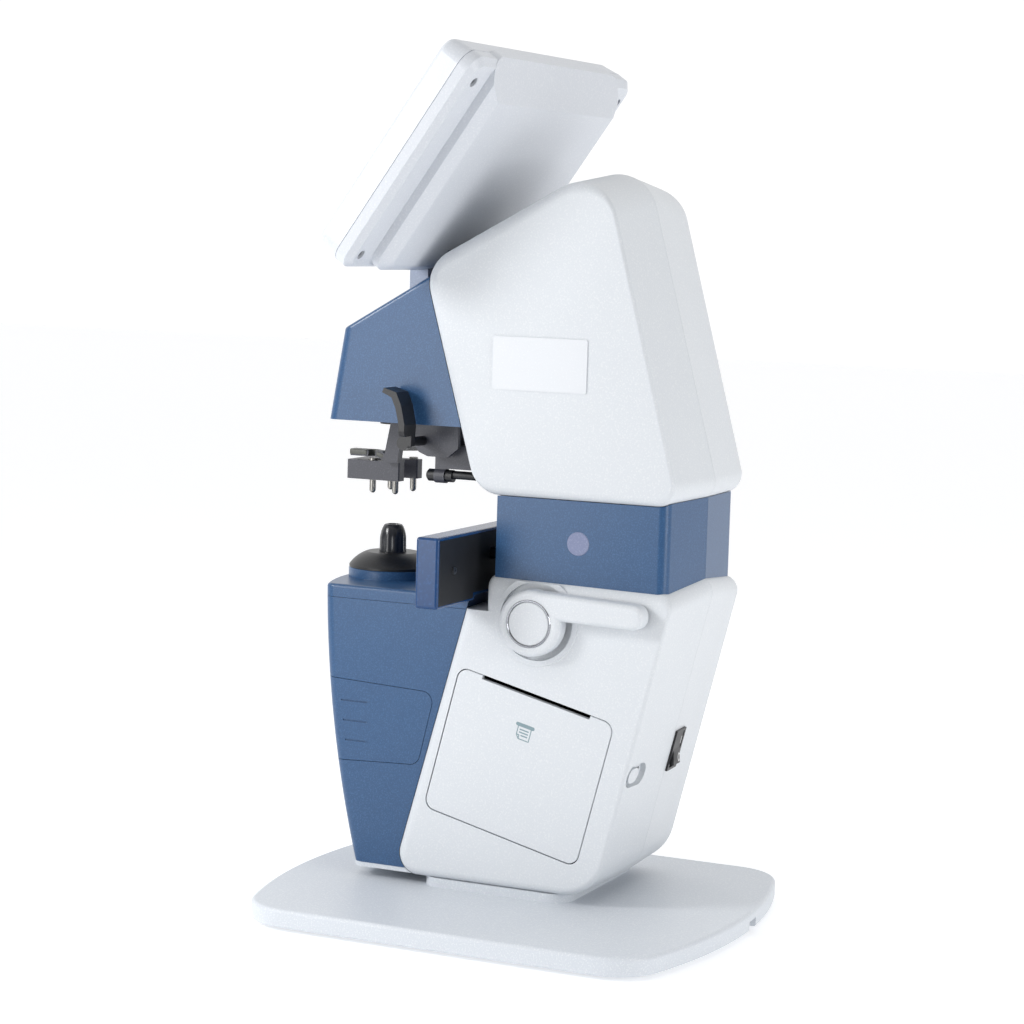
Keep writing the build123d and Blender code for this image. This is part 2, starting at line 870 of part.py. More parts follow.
# Inner frame
def chassis():
    body = span(frame_left, frame_right, frame_front, frame_rear, foot_plate_top, frame_top)
    body += rounded_plate(-foot_plate_half, foot_plate_half, foot_plate_front, frame_rear, base_top, foot_plate_top, 4)
    arm_top = lower_arm_z + arm_thick
    body += span(frame_left, frame_right, lower_arm_front, frame_rear, lower_arm_z, arm_top)
    body += rounded_plate(-lower_arm_half, lower_arm_half, lower_arm_front, lower_arm_pad, lower_arm_z, arm_top, 6)
    body += span(frame_left, frame_right, upper_arm_front + 4, frame_rear, upper_arm_z, upper_arm_z + arm_thick)
    body += rounded_plate(-upper_arm_half, upper_arm_half, upper_arm_front, neck_pad_rear, upper_arm_z,
                          upper_arm_z + arm_thick, 6)
    body += span(-bearing_half, bearing_half, bearing_front, frame_rear, bearing_low, bearing_high)
    for x in (lever_plate_far, lever_plate_near):
        body += span(x, x + lever_plate_thick, frame_front + 8, frame_rear - 2, lever_plate_low, bearing_low)
    for y in (main_board_front + 20, main_board_rear - 20):
        for z in (main_board_low + 8, main_board_high - 8):
            body += rod_along_x(standoff_radius, frame_left - standoff, frame_left, y, z)
    body -= rod_along_z(sensor_radius + fit, lower_arm_z - 1, arm_top + 1, 0, axis_y)
    body -= rod_along_z(barrel_radius + fit, upper_arm_z - 1, upper_arm_z + arm_thick + 1, 0, axis_y)
    body -= rod_along_z(guide_radius + fit, upper_arm_z - 1, upper_arm_z + 6, 0, guide_y)
    for x in (-rod_x, rod_x):
        body -= rod_along_y(rod_radius + running_fit, bearing_front - 1, frame_rear + 1, x, rod_z)
    body -= rod_along_x(shaft_radius + running_fit, 0, 40, lever_y, lever_z)
    body -= rod_along_z(cord_hole_radius, base_top - 1, foot_plate_top + 1, cord_x, cord_hole_y)
    for x, y in frame_screw_spots():
        body -= rod_along_z(frame_screw_radius + fit, base_top - 1, foot_plate_top + 1, x, y)
    return body


def frame_screw_spots():
    return [(x, y) for x in (-frame_screw_x, frame_screw_x) for y in (frame_screw_front, frame_screw_rear)]


def frame_screws():
    screws = Part()
    for x, y in frame_screw_spots():
        sink = foot_height + frame_screw_sink
        head = rod_along_z(frame_screw_head, sink - 3, sink, x, y)
        screws += head + rod_along_z(frame_screw_radius, sink, foot_plate_top, x, y)
    return screws


# Base
def base_plate():
    half, long = base_width / 2, base_length / 2
    side, end = half - base_side_bulge, long - base_end_bulge
    arcs = [ThreePointArc((-side, -end), (0, -long), (side, -end)), ThreePointArc((side, -end), (half, 0), (side, end)),
            ThreePointArc((side, end), (0, long), (-side, end)), ThreePointArc((-side, end), (-half, 0), (-side, -end))]
    plan = make_face([edge for arc in arcs for edge in arc.edges()])
    plan = fillet(plan.vertices(), base_corner)
    plate = extrude(Pos(base_x, base_y, foot_height) * plan, base_thick, dir=(0, 0, 1))
    plate = fillet(plate.faces().sort_by(Axis.Z)[-1].edges(), base_top_round)
    plate = fillet(plate.faces().sort_by(Axis.Z)[0].edges(), base_under_round)
    rear = base_y + long + 5
    plate -= span(cord_x - cord_width / 2, cord_x + cord_width / 2, cord_hole_y - cord_hole_radius, rear,
                  foot_height - 1, foot_height + cord_height)
    plate -= rod_along_z(cord_hole_radius, foot_height, base_top + 1, cord_x, cord_hole_y)
    for x, y in frame_screw_spots():
        plate -= rod_along_z(frame_screw_head + 0.3, foot_height - 1, foot_height + frame_screw_sink, x, y)
        plate -= rod_along_z(frame_screw_radius + 0.2, foot_height, base_top + 1, x, y)
    return plate


def rubber_feet():
    feet = Part()
    for sx in (-1, 1):
        for sy in (-1, 1):
            x = base_x + sx * (base_width / 2 - foot_inset)
            y = base_y + sy * (base_length / 2 - foot_inset)
            feet += rod_along_z(foot_radius, 0, foot_height, x, y)
    return feet


def tower_plinth():
    outer = rounded_plate(-plinth_half, plinth_half, plinth_front, plinth_rear, base_top, plinth_top, plinth_corner)
    inner = rounded_plate(-plinth_half + plinth_wall, plinth_half - plinth_wall, plinth_front + plinth_wall,
                          plinth_rear - plinth_wall, base_top, plinth_top, plinth_corner - plinth_wall)
    return outer - inner


def column_plinth():
    """The column's foot: a recessed block under a thin ledge of the column's own shape."""
    block = rounded_plate(-column_foot_half, column_foot_half, column_foot_front, column_foot_rear, base_top,
                          column_low, column_foot_corner)
    ledge = extrude(column_section(column_low - ledge_thick, -ledge_proud), ledge_thick, dir=(0, 0, 1))
    ledge -= housing_cutter(lower_outline, lower_shape)
    return block + max(ledge.solids(), key=lambda s: s.volume)


def cord_grommet():
    sleeve = rod_along_z(cord_hole_radius - fit, foot_height + cord_height + 0.5, foot_plate_top, cord_x, cord_hole_y)
    flange = rod_along_z(grommet_flange, foot_plate_top, foot_plate_top + 1.5, cord_x, cord_hole_y)
    bore = rod_along_z(grommet_bore, 0, foot_plate_top + 5, cord_x, cord_hole_y)
    return sleeve + flange - bore


# Lens table with its rods and rack
def table_bar():
    bar = span(-table_half, table_half, table_front, table_rear, table_low, table_high)
    bar = fillet(bar.edges(), table_round)
    bar -= span(-table_notch, table_notch, table_front - 1, table_rear + 1, table_low - 1, table_notch_top)
    bar -= insert_solid(0.05, 5)
    for x in (-rod_x, rod_x):
        bar -= rod_along_y(rod_radius + fit, table_rear - rod_sunk, table_rear + 1, x, rod_z)
    for x in (-table_screw_x, table_screw_x):
        bar -= rod_along_y(table_screw_radius * 0.7, table_rear - table_screw_length, table_rear, x, table_screw_z)
    return bar


def insert_solid(grow=0.0, out=0.0):
    reach = table_border - grow
    sheet = span(-table_half + reach, table_half - reach, table_rear - insert_depth - grow, table_rear + out,
                 table_low + reach, table_high - reach)
    notch = table_notch + reach
    return sheet - span(-notch, notch, table_front, table_rear + 9, table_low - 1, table_notch_top + reach)


def table_insert():
    insert = insert_solid()
    for x in (-rod_x, rod_x):
        insert -= rod_along_y(rod_radius + 0.2, table_rear - 3, table_rear + 1, x, rod_z)
    for x in (-table_screw_x, table_screw_x):
        insert -= rod_along_y(table_screw_radius * 0.7 + 0.1, table_rear - 3, table_rear + 1, x, table_screw_z)
    return insert


def table_screws():
    screws = Part()
    for x in (-table_screw_x, table_screw_x):
        head = rod_along_y(table_screw_radius, table_rear, table_rear + 1.2, x, table_screw_z)
        head -= rod_along_y(0.8, table_rear + 0.5, table_rear + 2, x, table_screw_z)
        shank = rod_along_y(table_screw_radius * 0.7 - fit, table_rear - table_screw_length + 0.5, table_rear, x,
                            table_screw_z)
        screws += head + shank
    return screws


def table_rods():
    rods = Part()
    for x in (-rod_x, rod_x):
        rods += rod_along_y(rod_radius, table_rear - rod_sunk + 0.2, rod_rear, x, rod_z)
    return rods


def tooth_profile(half_pitch, half_tip, half_root):
    return [(-half_root, -tooth_root), (-half_pitch, 0), (-half_tip, tooth_tip), (half_tip, tooth_tip),
            (half_pitch, 0), (half_root, -tooth_root)]


def table_rack():
    pitch = math.pi * gear_module
    profile = tooth_profile(tooth_width / 2, tooth_width / 2 - 0.25, tooth_width / 2 + 0.25)
    points = [(table_rear, rack_top), (table_rear, pitch_line + tooth_root)]
    count = int((rack_end - lever_y) / pitch)
    for i in range(-2, count):
        centre = lever_y + (i + 0.5) * pitch
        points += [(centre + y, pitch_line - z) for y, z in profile]
    points += [(rack_end, pitch_line + tooth_root), (rack_end, rack_top)]
    return slab_yz(points, rack_far, rack_near)


def lever_pinion():
    points = []
    profile = tooth_profile(tooth_width / 2, tooth_width / 2 - 0.25, tooth_width / 2 + 0.2)
    for i in range(gear_teeth):
        turn = -2 * math.pi * i / gear_teeth
        for across, up in profile:
            radius = pitch_radius + up
            points.append((lever_y + across * math.cos(turn) - radius * math.sin(turn),
                           lever_z + across * math.sin(turn) + radius * math.cos(turn)))
    wheel = slab_yz(points, rack_far - pinion_clear / 2, rack_near + pinion_clear / 2)
    return wheel - rod_along_x(shaft_radius + fit, rack_far - 2, rack_near + 2, lever_y, lever_z)


def table_lever():
    arm = slab_yz([(lever_y, lever_arm_low), (lever_tip, lever_tip_low), (lever_tip, lever_tip_top),
                   (lever_y, lever_arm_top)], lever_back, lever_face)
    tip_edges = [e for e in arm.edges() if (e @ 0.5).Y > lever_tip - 0.01 and abs((e @ 0).X - (e @ 1).X) > 5]
    arm = fillet(tip_edges, lever_tip_round)
    lever = arm + rod_along_x(lever_hub, lever_back, lever_face, lever_y, lever_z)
    outer_edges = [e for e in lever.edges() if min((e @ 0).X, (e @ 1).X) > lever_face - 0.01]
    lever = fillet(outer_edges, lever_round)
    lever -= rod_along_x(lever_ring, lever_face - lever_cap_depth, lever_face + 1, lever_y, lever_z)
    lever -= rod_along_x(shaft_radius + fit, lever_back - 1, lever_face - lever_cap_depth + 1, lever_y, lever_z)
    return lever


def lever_ring_part():
    face = lever_face + lever_ring_proud
    ring = rod_along_x(lever_ring - fit, lever_face - lever_cap_depth, face, lever_y, lever_z)
    ring -= rod_along_x(lever_ring - lever_ring_wall, lever_face - 10, lever_face + 5, lever_y, lever_z)
    return chamfer([e for e in ring.edges() if (e @ 0).X > face - 0.01], 0.25)


def lever_cap():
    cap = rod_along_x(lever_ring - lever_ring_wall - fit, lever_face - lever_cap_depth, lever_face, lever_y, lever_z)
    return fillet([e for e in cap.edges() if (e @ 0).X > lever_face - 0.01], 0.6)


def lever_shaft():
    end = lever_face - lever_cap_depth
    shaft = rod_along_x(shaft_radius, shaft_end, end, lever_y, lever_z)
    collar_start = lever_plate_near + lever_plate_thick + 0.3
    return shaft + rod_along_x(shaft_radius + 2, collar_start, collar_start + 3, lever_y, lever_z)


# Printer
def printer_door():
    door = door_outline(0, door_round, -door_thick, 0)
    outer = [e for e in door.edges() if (e @ 0).X > housing_half - 0.01 and (e @ 1).X > housing_half - 0.01]
    door = fillet(outer, 0.6)
    door -= door_block(slot_start, slot_start + slot_length, -slot_height, 5, -5, 5)
    ear_v = -door_height + door_pin_up
    for u0, u1 in ((0.3, door_ear), (door_width - door_ear, door_width - 0.3)):
        door += door_block(u0, u1, ear_v - door_ear_half, ear_v + door_ear_half, -door_pin_in - door_ear_half, -1)
    door += door_rod(door_pin_radius, -door_pin_length, 0.5, ear_v, -door_pin_in)
    door += door_rod(door_pin_radius, door_width - 0.5, door_width + door_pin_length, ear_v, -door_pin_in)
    start = platen_start()
    for u in (start - platen_lug - 0.5, start + platen_length + 0.5):
        lug = door_block(u, u + platen_lug, -platen_down - 3, -platen_down + 3, -platen_in - 3, -1)
        door += lug - door_rod(platen_shaft + running_fit, u - 1, u + platen_lug + 1, -platen_down, -platen_in)
    return door


def platen_start():
    return slot_start + (slot_length - platen_length) / 2


def platen_roller():
    start = platen_start()
    roller = door_rod(platen_radius, start, start + platen_length, -platen_down, -platen_in)
    return roller + door_rod(platen_shaft, start - platen_lug - 0.3, start + platen_length + platen_lug + 0.3,
                             -platen_down, -platen_in)


def print_head():
    start = platen_start()
    near = -platen_in - platen_radius - joint_gap
    head = door_block(start, start + platen_length, -platen_down - 6, -platen_down + 3, near - head_bar_thick, near)
    return head


def tray_limits():
    return (tray_margin, door_width - tray_margin, -door_height + tray_margin + 4, -tray_margin + 3)


def printer_tray():
    """An open box behind the door that carries the paper roll and the print head."""
    u0, u1, v0, v1 = tray_limits()
    t = tray_wall
    outer = door_block(u0, u1, v0, v1, -tray_depth, -tray_back_clear)
    inner = door_block(u0 + t, u1 - t, v0 + t, v1 + 1, -tray_depth + t, 0)
    tray = outer - inner
    start = platen_start()
    near = -platen_in - platen_radius - joint_gap - head_bar_thick
    shelf = door_block(u0, u1, -platen_down - 6, -platen_down + 3, near - 2, near)
    tray += shelf
    roll_u = (door_width - roll_width) / 2
    for side_u0, side_u1 in ((u0 + t - 0.1, roll_u - 0.6), (roll_u + roll_width + 0.6, u1 - t + 0.1)):
        tray += door_rod(spindle_radius, side_u0, side_u1, -roll_down, roll_w())
    tray += tray_spindle()
    tray -= door_block(start - 20, start + platen_length + 20, v1 - 1, v1 + 3, -tray_back_clear - 8, 0)
    foot = span(frame_right, housing_half - tray_depth + 1, frame_front + 2, frame_rear - 3, 60, 90)
    return tray + foot


def roll_w():
    return -tray_back_clear - roll_radius - 3


def tray_spindle():
    u0, u1, _, _ = tray_limits()
    return door_rod(spindle_radius, u0, u1, -roll_down, roll_w())


def paper_roll():
    start = (door_width - roll_width) / 2
    roll = door_rod(roll_radius, start, start + roll_width, -roll_down, roll_w())
    return roll - door_rod(roll_core, start - 1, start + roll_width + 1, -roll_down, roll_w())


# Rear controls
def release_slider():
    plane = rear_plane(lower_outline, slider_x + slider_shift, slider_z)
    deep = -slider_pocket_deep
    knob = Pos(0, 0, deep + 1.6) * extrude(SlotOverall(slider_knob + 2, slider_knob_high), 2.4)
    knob = Pos(0, 0, -1.3) * knob
    stem = Pos(0, 0, deep - 2) * Box(slider_stem, slider_slot_high - 0.6, 8)
    keeper = Pos(0, 0, deep - wall - 1.3) * Box(slider_keeper, slider_slot_high + 4, 1.6)
    tongue_end = slider_tongue + wall + slider_pocket_deep
    tongue = Pos(1.5, 0, -tongue_end / 2 - 3) * Box(3, slider_slot_high - 1, tongue_end)
    return plane.location * (knob + stem + keeper + tongue)


def switch_body():
    bezel = switch_block(switch_width, switch_height, 0, switch_bezel)
    body = switch_block(switch_body_width, switch_body_height, -switch_depth, 0.2)
    pocket = switch_block(rocker_width + 2 * rocker_clear, 2 * rocker_half + 2.2, -11, 4)
    plane = rear_plane(lower_outline, switch_x, switch_z)
    pins = Pos(0, 0, -rocker_pivot_deep) * Rot(0, 90, 0) * Cylinder(rocker_pin + running_fit, switch_body_width - 0.6)
    return bezel + body - pocket - plane.location * pins


def power_rocker():
    rise = rocker_half * math.tan(math.radians(rocker_tilt))
    points = [(-rocker_half, rocker_rise + rise), (0, rocker_rise), (rocker_half, rocker_rise + rise),
              (rocker_half, 1.0), (rocker_half - 3.5, -3.5), (-rocker_half + 3.5, -3.5), (-rocker_half, 1.0)]
    face = make_face(Polyline([(-rocker_width / 2, y, z) for y, z in points], close=True))
    rocker = extrude(face, rocker_width, dir=(1, 0, 0))
    rocker += Rot(0, 90, 0) * Cylinder(rocker_pin, switch_body_width - 1.0)
    plane = rear_plane(lower_outline, switch_x, switch_z)
    return plane.location * (Pos(0, 0, -rocker_pivot_deep) * Rot(rocker_tilt, 0, 0) * rocker)


# Head
def head_front(z):
    return head_front_low + (z - head_low) * head_front_lean


def head_section(z, gap):
    half, front = head_half - gap, head_front(z) + gap
    crest = ThreePointArc((-half, front), (0, front - head_crown), (half, front))
    rest = Polyline((half, front), (half, -10), (-half, -10), (-half, front))
    plan = make_face(crest.edges() + rest.edges())
    corners = [v for v in plan.vertices() if v.Y < -50]
    return Pos(0, 0, z) * fillet(corners, column_corner - gap)


def head_solid(gap):
    top = 345
    body = loft([head_section(z, gap) for z in (head_low + gap, top)], ruled=True)
    turn = math.radians(head_slope)
    plane = Plane(origin=(0, head_slope_y, head_slope_z - gap / math.cos(turn)), x_dir=(1, 0, 0),
                  z_dir=(0, -math.sin(turn), math.cos(turn)))
    rise = head_roof_radius - math.sqrt(head_roof_radius ** 2 - head_half ** 2)
    roof = Pos(0, 0, rise - head_roof_radius) * Rot(90, 0, 0) * Cylinder(head_roof_radius, 500)
    body &= plane.location * roof
    if gap == 0:
        roof_faces = [f for f in body.faces() if f.geom_type == GeomType.CYLINDER and f.radius > head_roof_radius - 1]
        roof_edges = [e for f in roof_faces for e in f.edges() if (e @ 0.5).Y < -20]
        body = fillet(roof_edges, head_edge)
    return body


def head_cover():
    shell = head_solid(0) - head_solid(wall) - housing_cutter(upper_outline, upper_shape)
    shell = max(shell.solids(), key=lambda s: s.volume)
    shell -= span(-neck_post_half - 0.6, neck_post_half + 0.6, neck_post_front - 0.6, neck_post_rear + 0.6, 296, 345)
    shell -= rod_along_z(barrel_radius + 0.2, head_low - 1, head_low + wall + 1, 0, axis_y)
    shell -= span(strut_far - 0.6, strut_near + 0.6, strut_high_y - strut_deep - 1.2, strut_high_y + 4.4,
                  head_low - 1, head_low + wall + 1)
    return shell


def light_barrel():
    low, top = barrel_low, upper_arm_z + arm_thick
    tube = rod_along_z(barrel_radius, low, top, 0, axis_y)
    tube += rod_along_z(barrel_flange, head_low - barrel_flange_thick, head_low, 0, axis_y)
    tube -= rod_along_z(barrel_radius - barrel_wall, low + lens_thick, top + 1, 0, axis_y)
    return tube - rod_along_z(barrel_radius - barrel_wall - 0.8, low - 1, low + lens_thick + 1, 0, axis_y)


def collimator_lens():
    low = barrel_low + lens_thick
    lens = rod_along_z(barrel_radius - barrel_wall - fit, low, low + 2.0, 0, axis_y)
    dome = Pos(0, axis_y, low - 7) * Sphere(11.5)
    top = rod_along_z(barrel_radius - barrel_wall - fit, low, low + 8, 0, axis_y) & dome
    return lens + top


def led_board():
    top = upper_arm_z + arm_thick
    board = span(-led_board_half, led_board_half, axis_y - 9, axis_y + 9, top, top + board_thick)
    led = rod_along_z(2.5, top - 5, top, 0, axis_y)
    return board + led


# Lens holder
def holder_block():
    body = span(-holder_half, holder_half, holder_front, holder_rear, holder_low, holder_high)
    inner = holder_half - holder_leg
    body -= span(-inner, inner, holder_front + holder_bridge, holder_rear + 1, holder_low - 1, holder_high + 1)
    body = chamfer([e for e in body.edges() if abs((e @ 0).Z - (e @ 1).Z) > 5 and (e @ 0).Y > holder_rear - 0.1], 0.6)
    for x, y in pin_spots():
        body -= rod_along_z(pin_radius + running_fit, holder_low - 1, holder_high + 1, x, y)
    return body


def holder_cap_part():
    cap = span(-holder_half, holder_half, holder_front - holder_cap, holder_front, holder_low, holder_high)
    cap = chamfer(cap.edges().filter_by(Axis.Z).sort_by(Axis.Y)[:2], 0.8)
    for i in range(-3, 4):
        cap -= rod_along_z(0.35, holder_low - 1, holder_high + 1, i * 3.6, holder_front - holder_cap)
    return cap


def pin_spots():
    return [(x, pin_centre_y + s * pin_spread) for x in (-pin_x, pin_x) for s in (-1, 1)]


def lens_pin(x, y):
    tip = Pos(x, y, pin_tip + pin_radius) * Sphere(pin_radius)
    head = rod_along_z(pin_head, holder_high + 0.05, holder_high + pin_head_thick, x, y)
    return tip + rod_along_z(pin_radius, pin_tip + pin_radius, holder_high + pin_head_thick, x, y) + head


def lens_pins():
    return Part() + [lens_pin(x, y) for x, y in pin_spots()]


def holder_strut():
    """The arm that rises from the block into the head, and the bush on the guide rod."""
    low = [(strut_low_y - strut_deep / 2 - 0.8, holder_high), (strut_low_y + strut_deep / 2 + 0.8, holder_high),
           (strut_high_y + strut_deep / 2, head_low - 2.5), (strut_high_y + strut_deep / 2, strut_top),
           (strut_high_y - strut_deep / 2, strut_top), (strut_high_y - strut_deep / 2, head_low - 2.5)]
    arm = slab_yz(low, strut_far, strut_near)
    link = span(strut_far, strut_near, strut_high_y, guide_y + guide_block, carriage_low, strut_top)
    bush = span(-guide_block, strut_near, guide_y - guide_block, guide_y + guide_block, carriage_low, strut_top)
    foot = span(holder_half - holder_leg, strut_near, strut_low_y - 3, holder_rear, holder_high, holder_high + 1.5)
    foot -= rod_along_z(pin_head + 0.6, holder_high - 1, holder_high + 5, pin_x, pin_centre_y + pin_spread)
    bore = rod_along_z(guide_radius + running_fit, carriage_low - 1, strut_top + 1, 0, guide_y)
    return arm + link + bush + foot - bore


def holder_guide():
    return rod_along_z(guide_radius, head_low + wall, upper_arm_z + 6, 0, guide_y)


def holder_tab():
    rear, low, t = tab_rear, tab_low, tab_thick
    points = [(tab_front, low), (tab_front, low + t), (rear + 1, low + t), (rear + 4.5, holder_high + 1.6),
              (rear + 5.5, holder_high + 1.2), (rear + 5.5, holder_high), (rear + 1.5, holder_high), (rear - 1.5, low)]
    tab = slab_yz(points, tab_far, tab_near)
    tab -= rod_along_z(pin_head + 0.5, holder_high - 1, low + 5, pin_x, pin_centre_y - pin_spread)
    tab -= rod_along_z(pin_head + 0.5, holder_high - 1, low + 5, pin_x, pin_centre_y + pin_spread)
    return tab


def holder_lever():
    """The finger lever: a wide curved blade on a narrow stem, its shaft and the crank behind the head."""
    y, z = lever_pivot_y, lever_pivot_z
    front = [(y + 4.6, z - 1.5), (y + 5.2, z + 10), (y + 3.0, z + 20), (y, z + 26.5), (y - 7, z + 28.5)]
    back = [(y - 8, z + 26.2), (y - 2.6, z + 23.8), (y - 0.2, z + 18.5), (y + 2.0, z + 9.5), (y + 1.4, z - 1.5)]
    blade = slab_yz(front + back, blade_far, blade_near)
    blade -= span(blade_stem, blade_near + 1, y - 20, y + 20, z - 5, z + blade_wide_up)
    low_corner = [e for e in blade.edges() if abs((e @ 0.5).X - blade_near) < 0.01
                  and abs((e @ 0.5).Z - z - blade_wide_up) < 0.01]
    blade = fillet(low_corner, blade_corner)
    boss = rod_along_x(pivot_radius + 1, blade_far, blade_stem, y, z)
    shaft = rod_along_x(pivot_radius, bracket_far_ear - 1.5, blade_far + 1, y, z)
    arm = slab_yz([(y - 14, z - 6.5), (y - 11, z - 2.5), (y, z + 3.5), (y + 3.5, z - 1), (y + 1, z - 5.5)],
                  crank_far, crank_far + crank_thick)
    hub = rod_along_x(pivot_radius + 2.2, crank_far, crank_far + crank_thick + 1.5, y, z)
    return blade + boss + shaft + arm + hub


def holder_bracket():
    y, z = lever_pivot_y, lever_pivot_z
    top = head_low - 2
    ear = [(y - 5.5, top), (y - 5.5, z - 1.5), (y - 2, bracket_low + 2), (y + 3, bracket_low), (bracket_rear - 6,
           bracket_low), (bracket_rear, bracket_low + 5), (bracket_rear, top)]
    body = span(bracket_far_ear, bracket_near_ear + bracket_thick, y - 5.5, bracket_rear, top, head_low)
    for x in (bracket_far_ear, bracket_near_ear):
        body += slab_yz(ear, x, x + bracket_thick)
    hang_top = span(bracket_far_ear, bracket_far_ear + bracket_thick + 2, hanger_front, hanger_rear, marker_z, top)
    ring = rod_along_y(marker_radius + hanger_wall, hanger_front, hanger_rear, marker_x, marker_z)
    carrier = span(bracket_far_ear, bracket_far_ear + bracket_thick + 4, hanger_rear - 1, carrier_rear, carrier_low,
                   bracket_low + 6)
    body += hang_top + ring + carrier
    body -= rod_along_y(marker_radius + running_fit, marker_front - 5, marker_rear + 5, marker_x, marker_z)
    return body - rod_along_x(pivot_radius + running_fit, bracket_far_ear - 1, bracket_near_ear + 5, y, z)


def marker():
    barrel = rod_along_y(marker_radius, marker_front, marker_rear, marker_x, marker_z)
    barrel = chamfer([e for e in barrel.edges() if (e @ 0).Y < marker_front + 0.1], 1.0)
    rod = rod_along_y(marker_rod, marker_rear - 0.5, marker_rod_end, marker_x, marker_z + marker_rod_rise)
    return barrel + rod


# Display, built flat in its own plane
def display_plane():
    turn = math.radians(display_lean)
    return Plane(origin=(0, display_y, display_z), x_dir=(-1, 0, 0), z_dir=(0, math.cos(turn), -math.sin(turn)))


def display_outline(gap, n):
    middle = (display_low + display_high) / 2
    height = display_high - display_low - 2 * gap
    return Pos(0, middle, n) * RectangleRounded(2 * display_half - 2 * gap, height, display_corner - gap)


def display_block(x0, x1, u0, u1, n0, n1):
    return span(x0, x1, u0, u1, n0, n1)


def display_bezel():
    outer = extrude(display_outline(0, display_seam), display_seam, dir=(0, 0, -1), taper=display_draft)
    outer = fillet(outer.faces().sort_by(Axis.Z)[0].edges(), display_front_round)
    inner = extrude(display_outline(wall, display_seam + 1), display_seam + 1 - wall, dir=(0, 0, -1),
                    taper=display_draft)
    frame = outer - inner
    frame -= display_block(-screen_half, screen_half, screen_low, screen_high, -2, 10)
    frame -= panel_solid(0.3)
    return display_plane().location * (frame - both_rows(display_screw_hole - 1, 3, display_seam))


def panel_solid(grow=0.0):
    m = panel_margin + grow
    return display_block(-screen_half - m, screen_half + m, screen_low - m, screen_high + m, panel_depth - 0.6,
                         panel_depth + panel_thick)


def display_panel():
    return display_plane().location * panel_solid()


def display_board():
    low = panel_depth + panel_thick
    board = display_block(-62, 62, screen_low + 6, screen_high - 10, low, low + board_thick)
    chip = display_block(-14, 14, 50, 78, low + board_thick, low + board_thick + 2)
    return display_plane().location * (board + chip)


def both_rows(radius, n0, n1):
    rods = Part()
    for x in (-display_screw_x, display_screw_x):
        for u in (display_screw_low, display_screw_high):
            rods += rod_along_z(radius, n0, n1, x, u)
    return rods


def raised_solid(gap):
    """The raised block on the display's back: a straight rim, sloping sides and a flat back."""
    start = display_seam if gap == 0 else display_seam - 1
    step, back, low = raised_step - gap, raised_back - gap, raised_low + gap
    height = raised_top_u + 5 - raised_low - 2 * gap
    plan = Pos(0, low + height / 2, start) * RectangleRounded(2 * (raised_half - gap), height, raised_corner - gap)
    body = extrude(plan, step - start, dir=(0, 0, 1))
    draft = math.degrees(math.atan2(raised_half - raised_shoulder, raised_back - raised_step))
    body += extrude(Pos(0, 0, step - start) * plan, back - step, dir=(0, 0, 1), taper=draft)
    if gap == 0:
        body = fillet(body.faces().sort_by(Axis.Z)[-1].edges(), raised_soft)
    drop, run = raised_back - display_band, raised_top_u - raised_chamfer_u
    turn = math.degrees(math.atan2(drop, run))
    slope = Pos(0, raised_top_u - gap, display_band) * Rot(-turn, 0, 0) * Pos(0, 0, 50) * Box(400, 400, 100)
    return body - slope


def display_rear_shell():
    slab = extrude(display_outline(0, display_seam), display_rim - display_seam, dir=(0, 0, 1))
    slab -= extrude(display_outline(-1, display_seam), seam_groove, dir=(0, 0, 1)) - extrude(
        display_outline(seam_groove, display_seam), seam_groove, dir=(0, 0, 1))
    lean = math.degrees(math.atan2(display_band_inset, display_band - display_rim))
    slab += extrude(display_outline(0, display_rim), display_band - display_rim, dir=(0, 0, 1), taper=lean)
    raised = raised_solid(0)
    hollow = extrude(display_outline(display_wall, display_seam - 1), display_band - display_wall - display_seam + 1,
                     dir=(0, 0, 1))
    shell = slab + raised - hollow - raised_solid(display_wall)
    posts = both_rows(display_screw_hole + 1.4, display_seam, display_band - 0.3)
    shell += posts
    shell -= both_rows(display_screw_hole, display_band - 3.5, display_band + 1)
    shell -= both_rows(display_screw_hole - 0.9, display_seam - 1, display_band)
    half = neck_post_half + 0.8
    shell -= display_block(-half, half, -10, display_axis_u + knuckle_radius + 4, display_seam + 1.8, 40)
    for x in (-half - lug_width, half):
        lug = rod_along_x(lug_radius, x, x + lug_width, display_axis_u, display_axis_n)
        root = display_block(x, x + lug_width, display_axis_u, display_axis_u + 14, display_seam + 2, raised_back - 1)
        shell += (lug + root) & display_block(-60, 60, display_low, 60, 0, raised_back - 0.5)
    shell -= rod_along_x(hinge_radius + fit, -60, 60, display_axis_u, display_axis_n)
    return display_plane().location * shell


def display_screws():
    heads = both_rows(display_screw_hole - 0.3, display_band - 3.5, display_band - 1.4)
    heads -= both_rows(0.9, display_band - 2.4, display_band)
    shanks = both_rows(display_screw_hole - 1.1, display_seam - 4, display_band - 3.5)
    return display_plane().location * (heads + shanks)


def display_hinge_pin():
    half = neck_post_half + 0.8 + lug_width - 0.5
    return display_plane().location * rod_along_x(hinge_radius, -half, half, display_axis_u, display_axis_n)


def display_axis():
    turn = math.radians(display_lean)
    y = display_y + display_axis_u * math.sin(turn) + display_axis_n * math.cos(turn)
    z = display_z + display_axis_u * math.cos(turn) - display_axis_n * math.sin(turn)
    return y, z


def display_neck():
    y, z = display_axis()
    base = upper_arm_z + arm_thick
    half = neck_post_half
    post = span(-half, half, neck_post_front, neck_post_rear, base, z)
    post += rod_along_x(knuckle_radius, -half, half, y, z)
    post += span(-half + 1, half - 1, neck_pad_front, neck_pad_rear, base, base + neck_pad_thick)
    return post - rod_along_x(hinge_radius + running_fit, -60, 60, y, z)


def name_plate():
    plate = span(housing_half, housing_half + plate_thick, plate_front, plate_rear, plate_low, plate_high)
    return fillet(plate.edges().filter_by(Axis.X), 1.0)


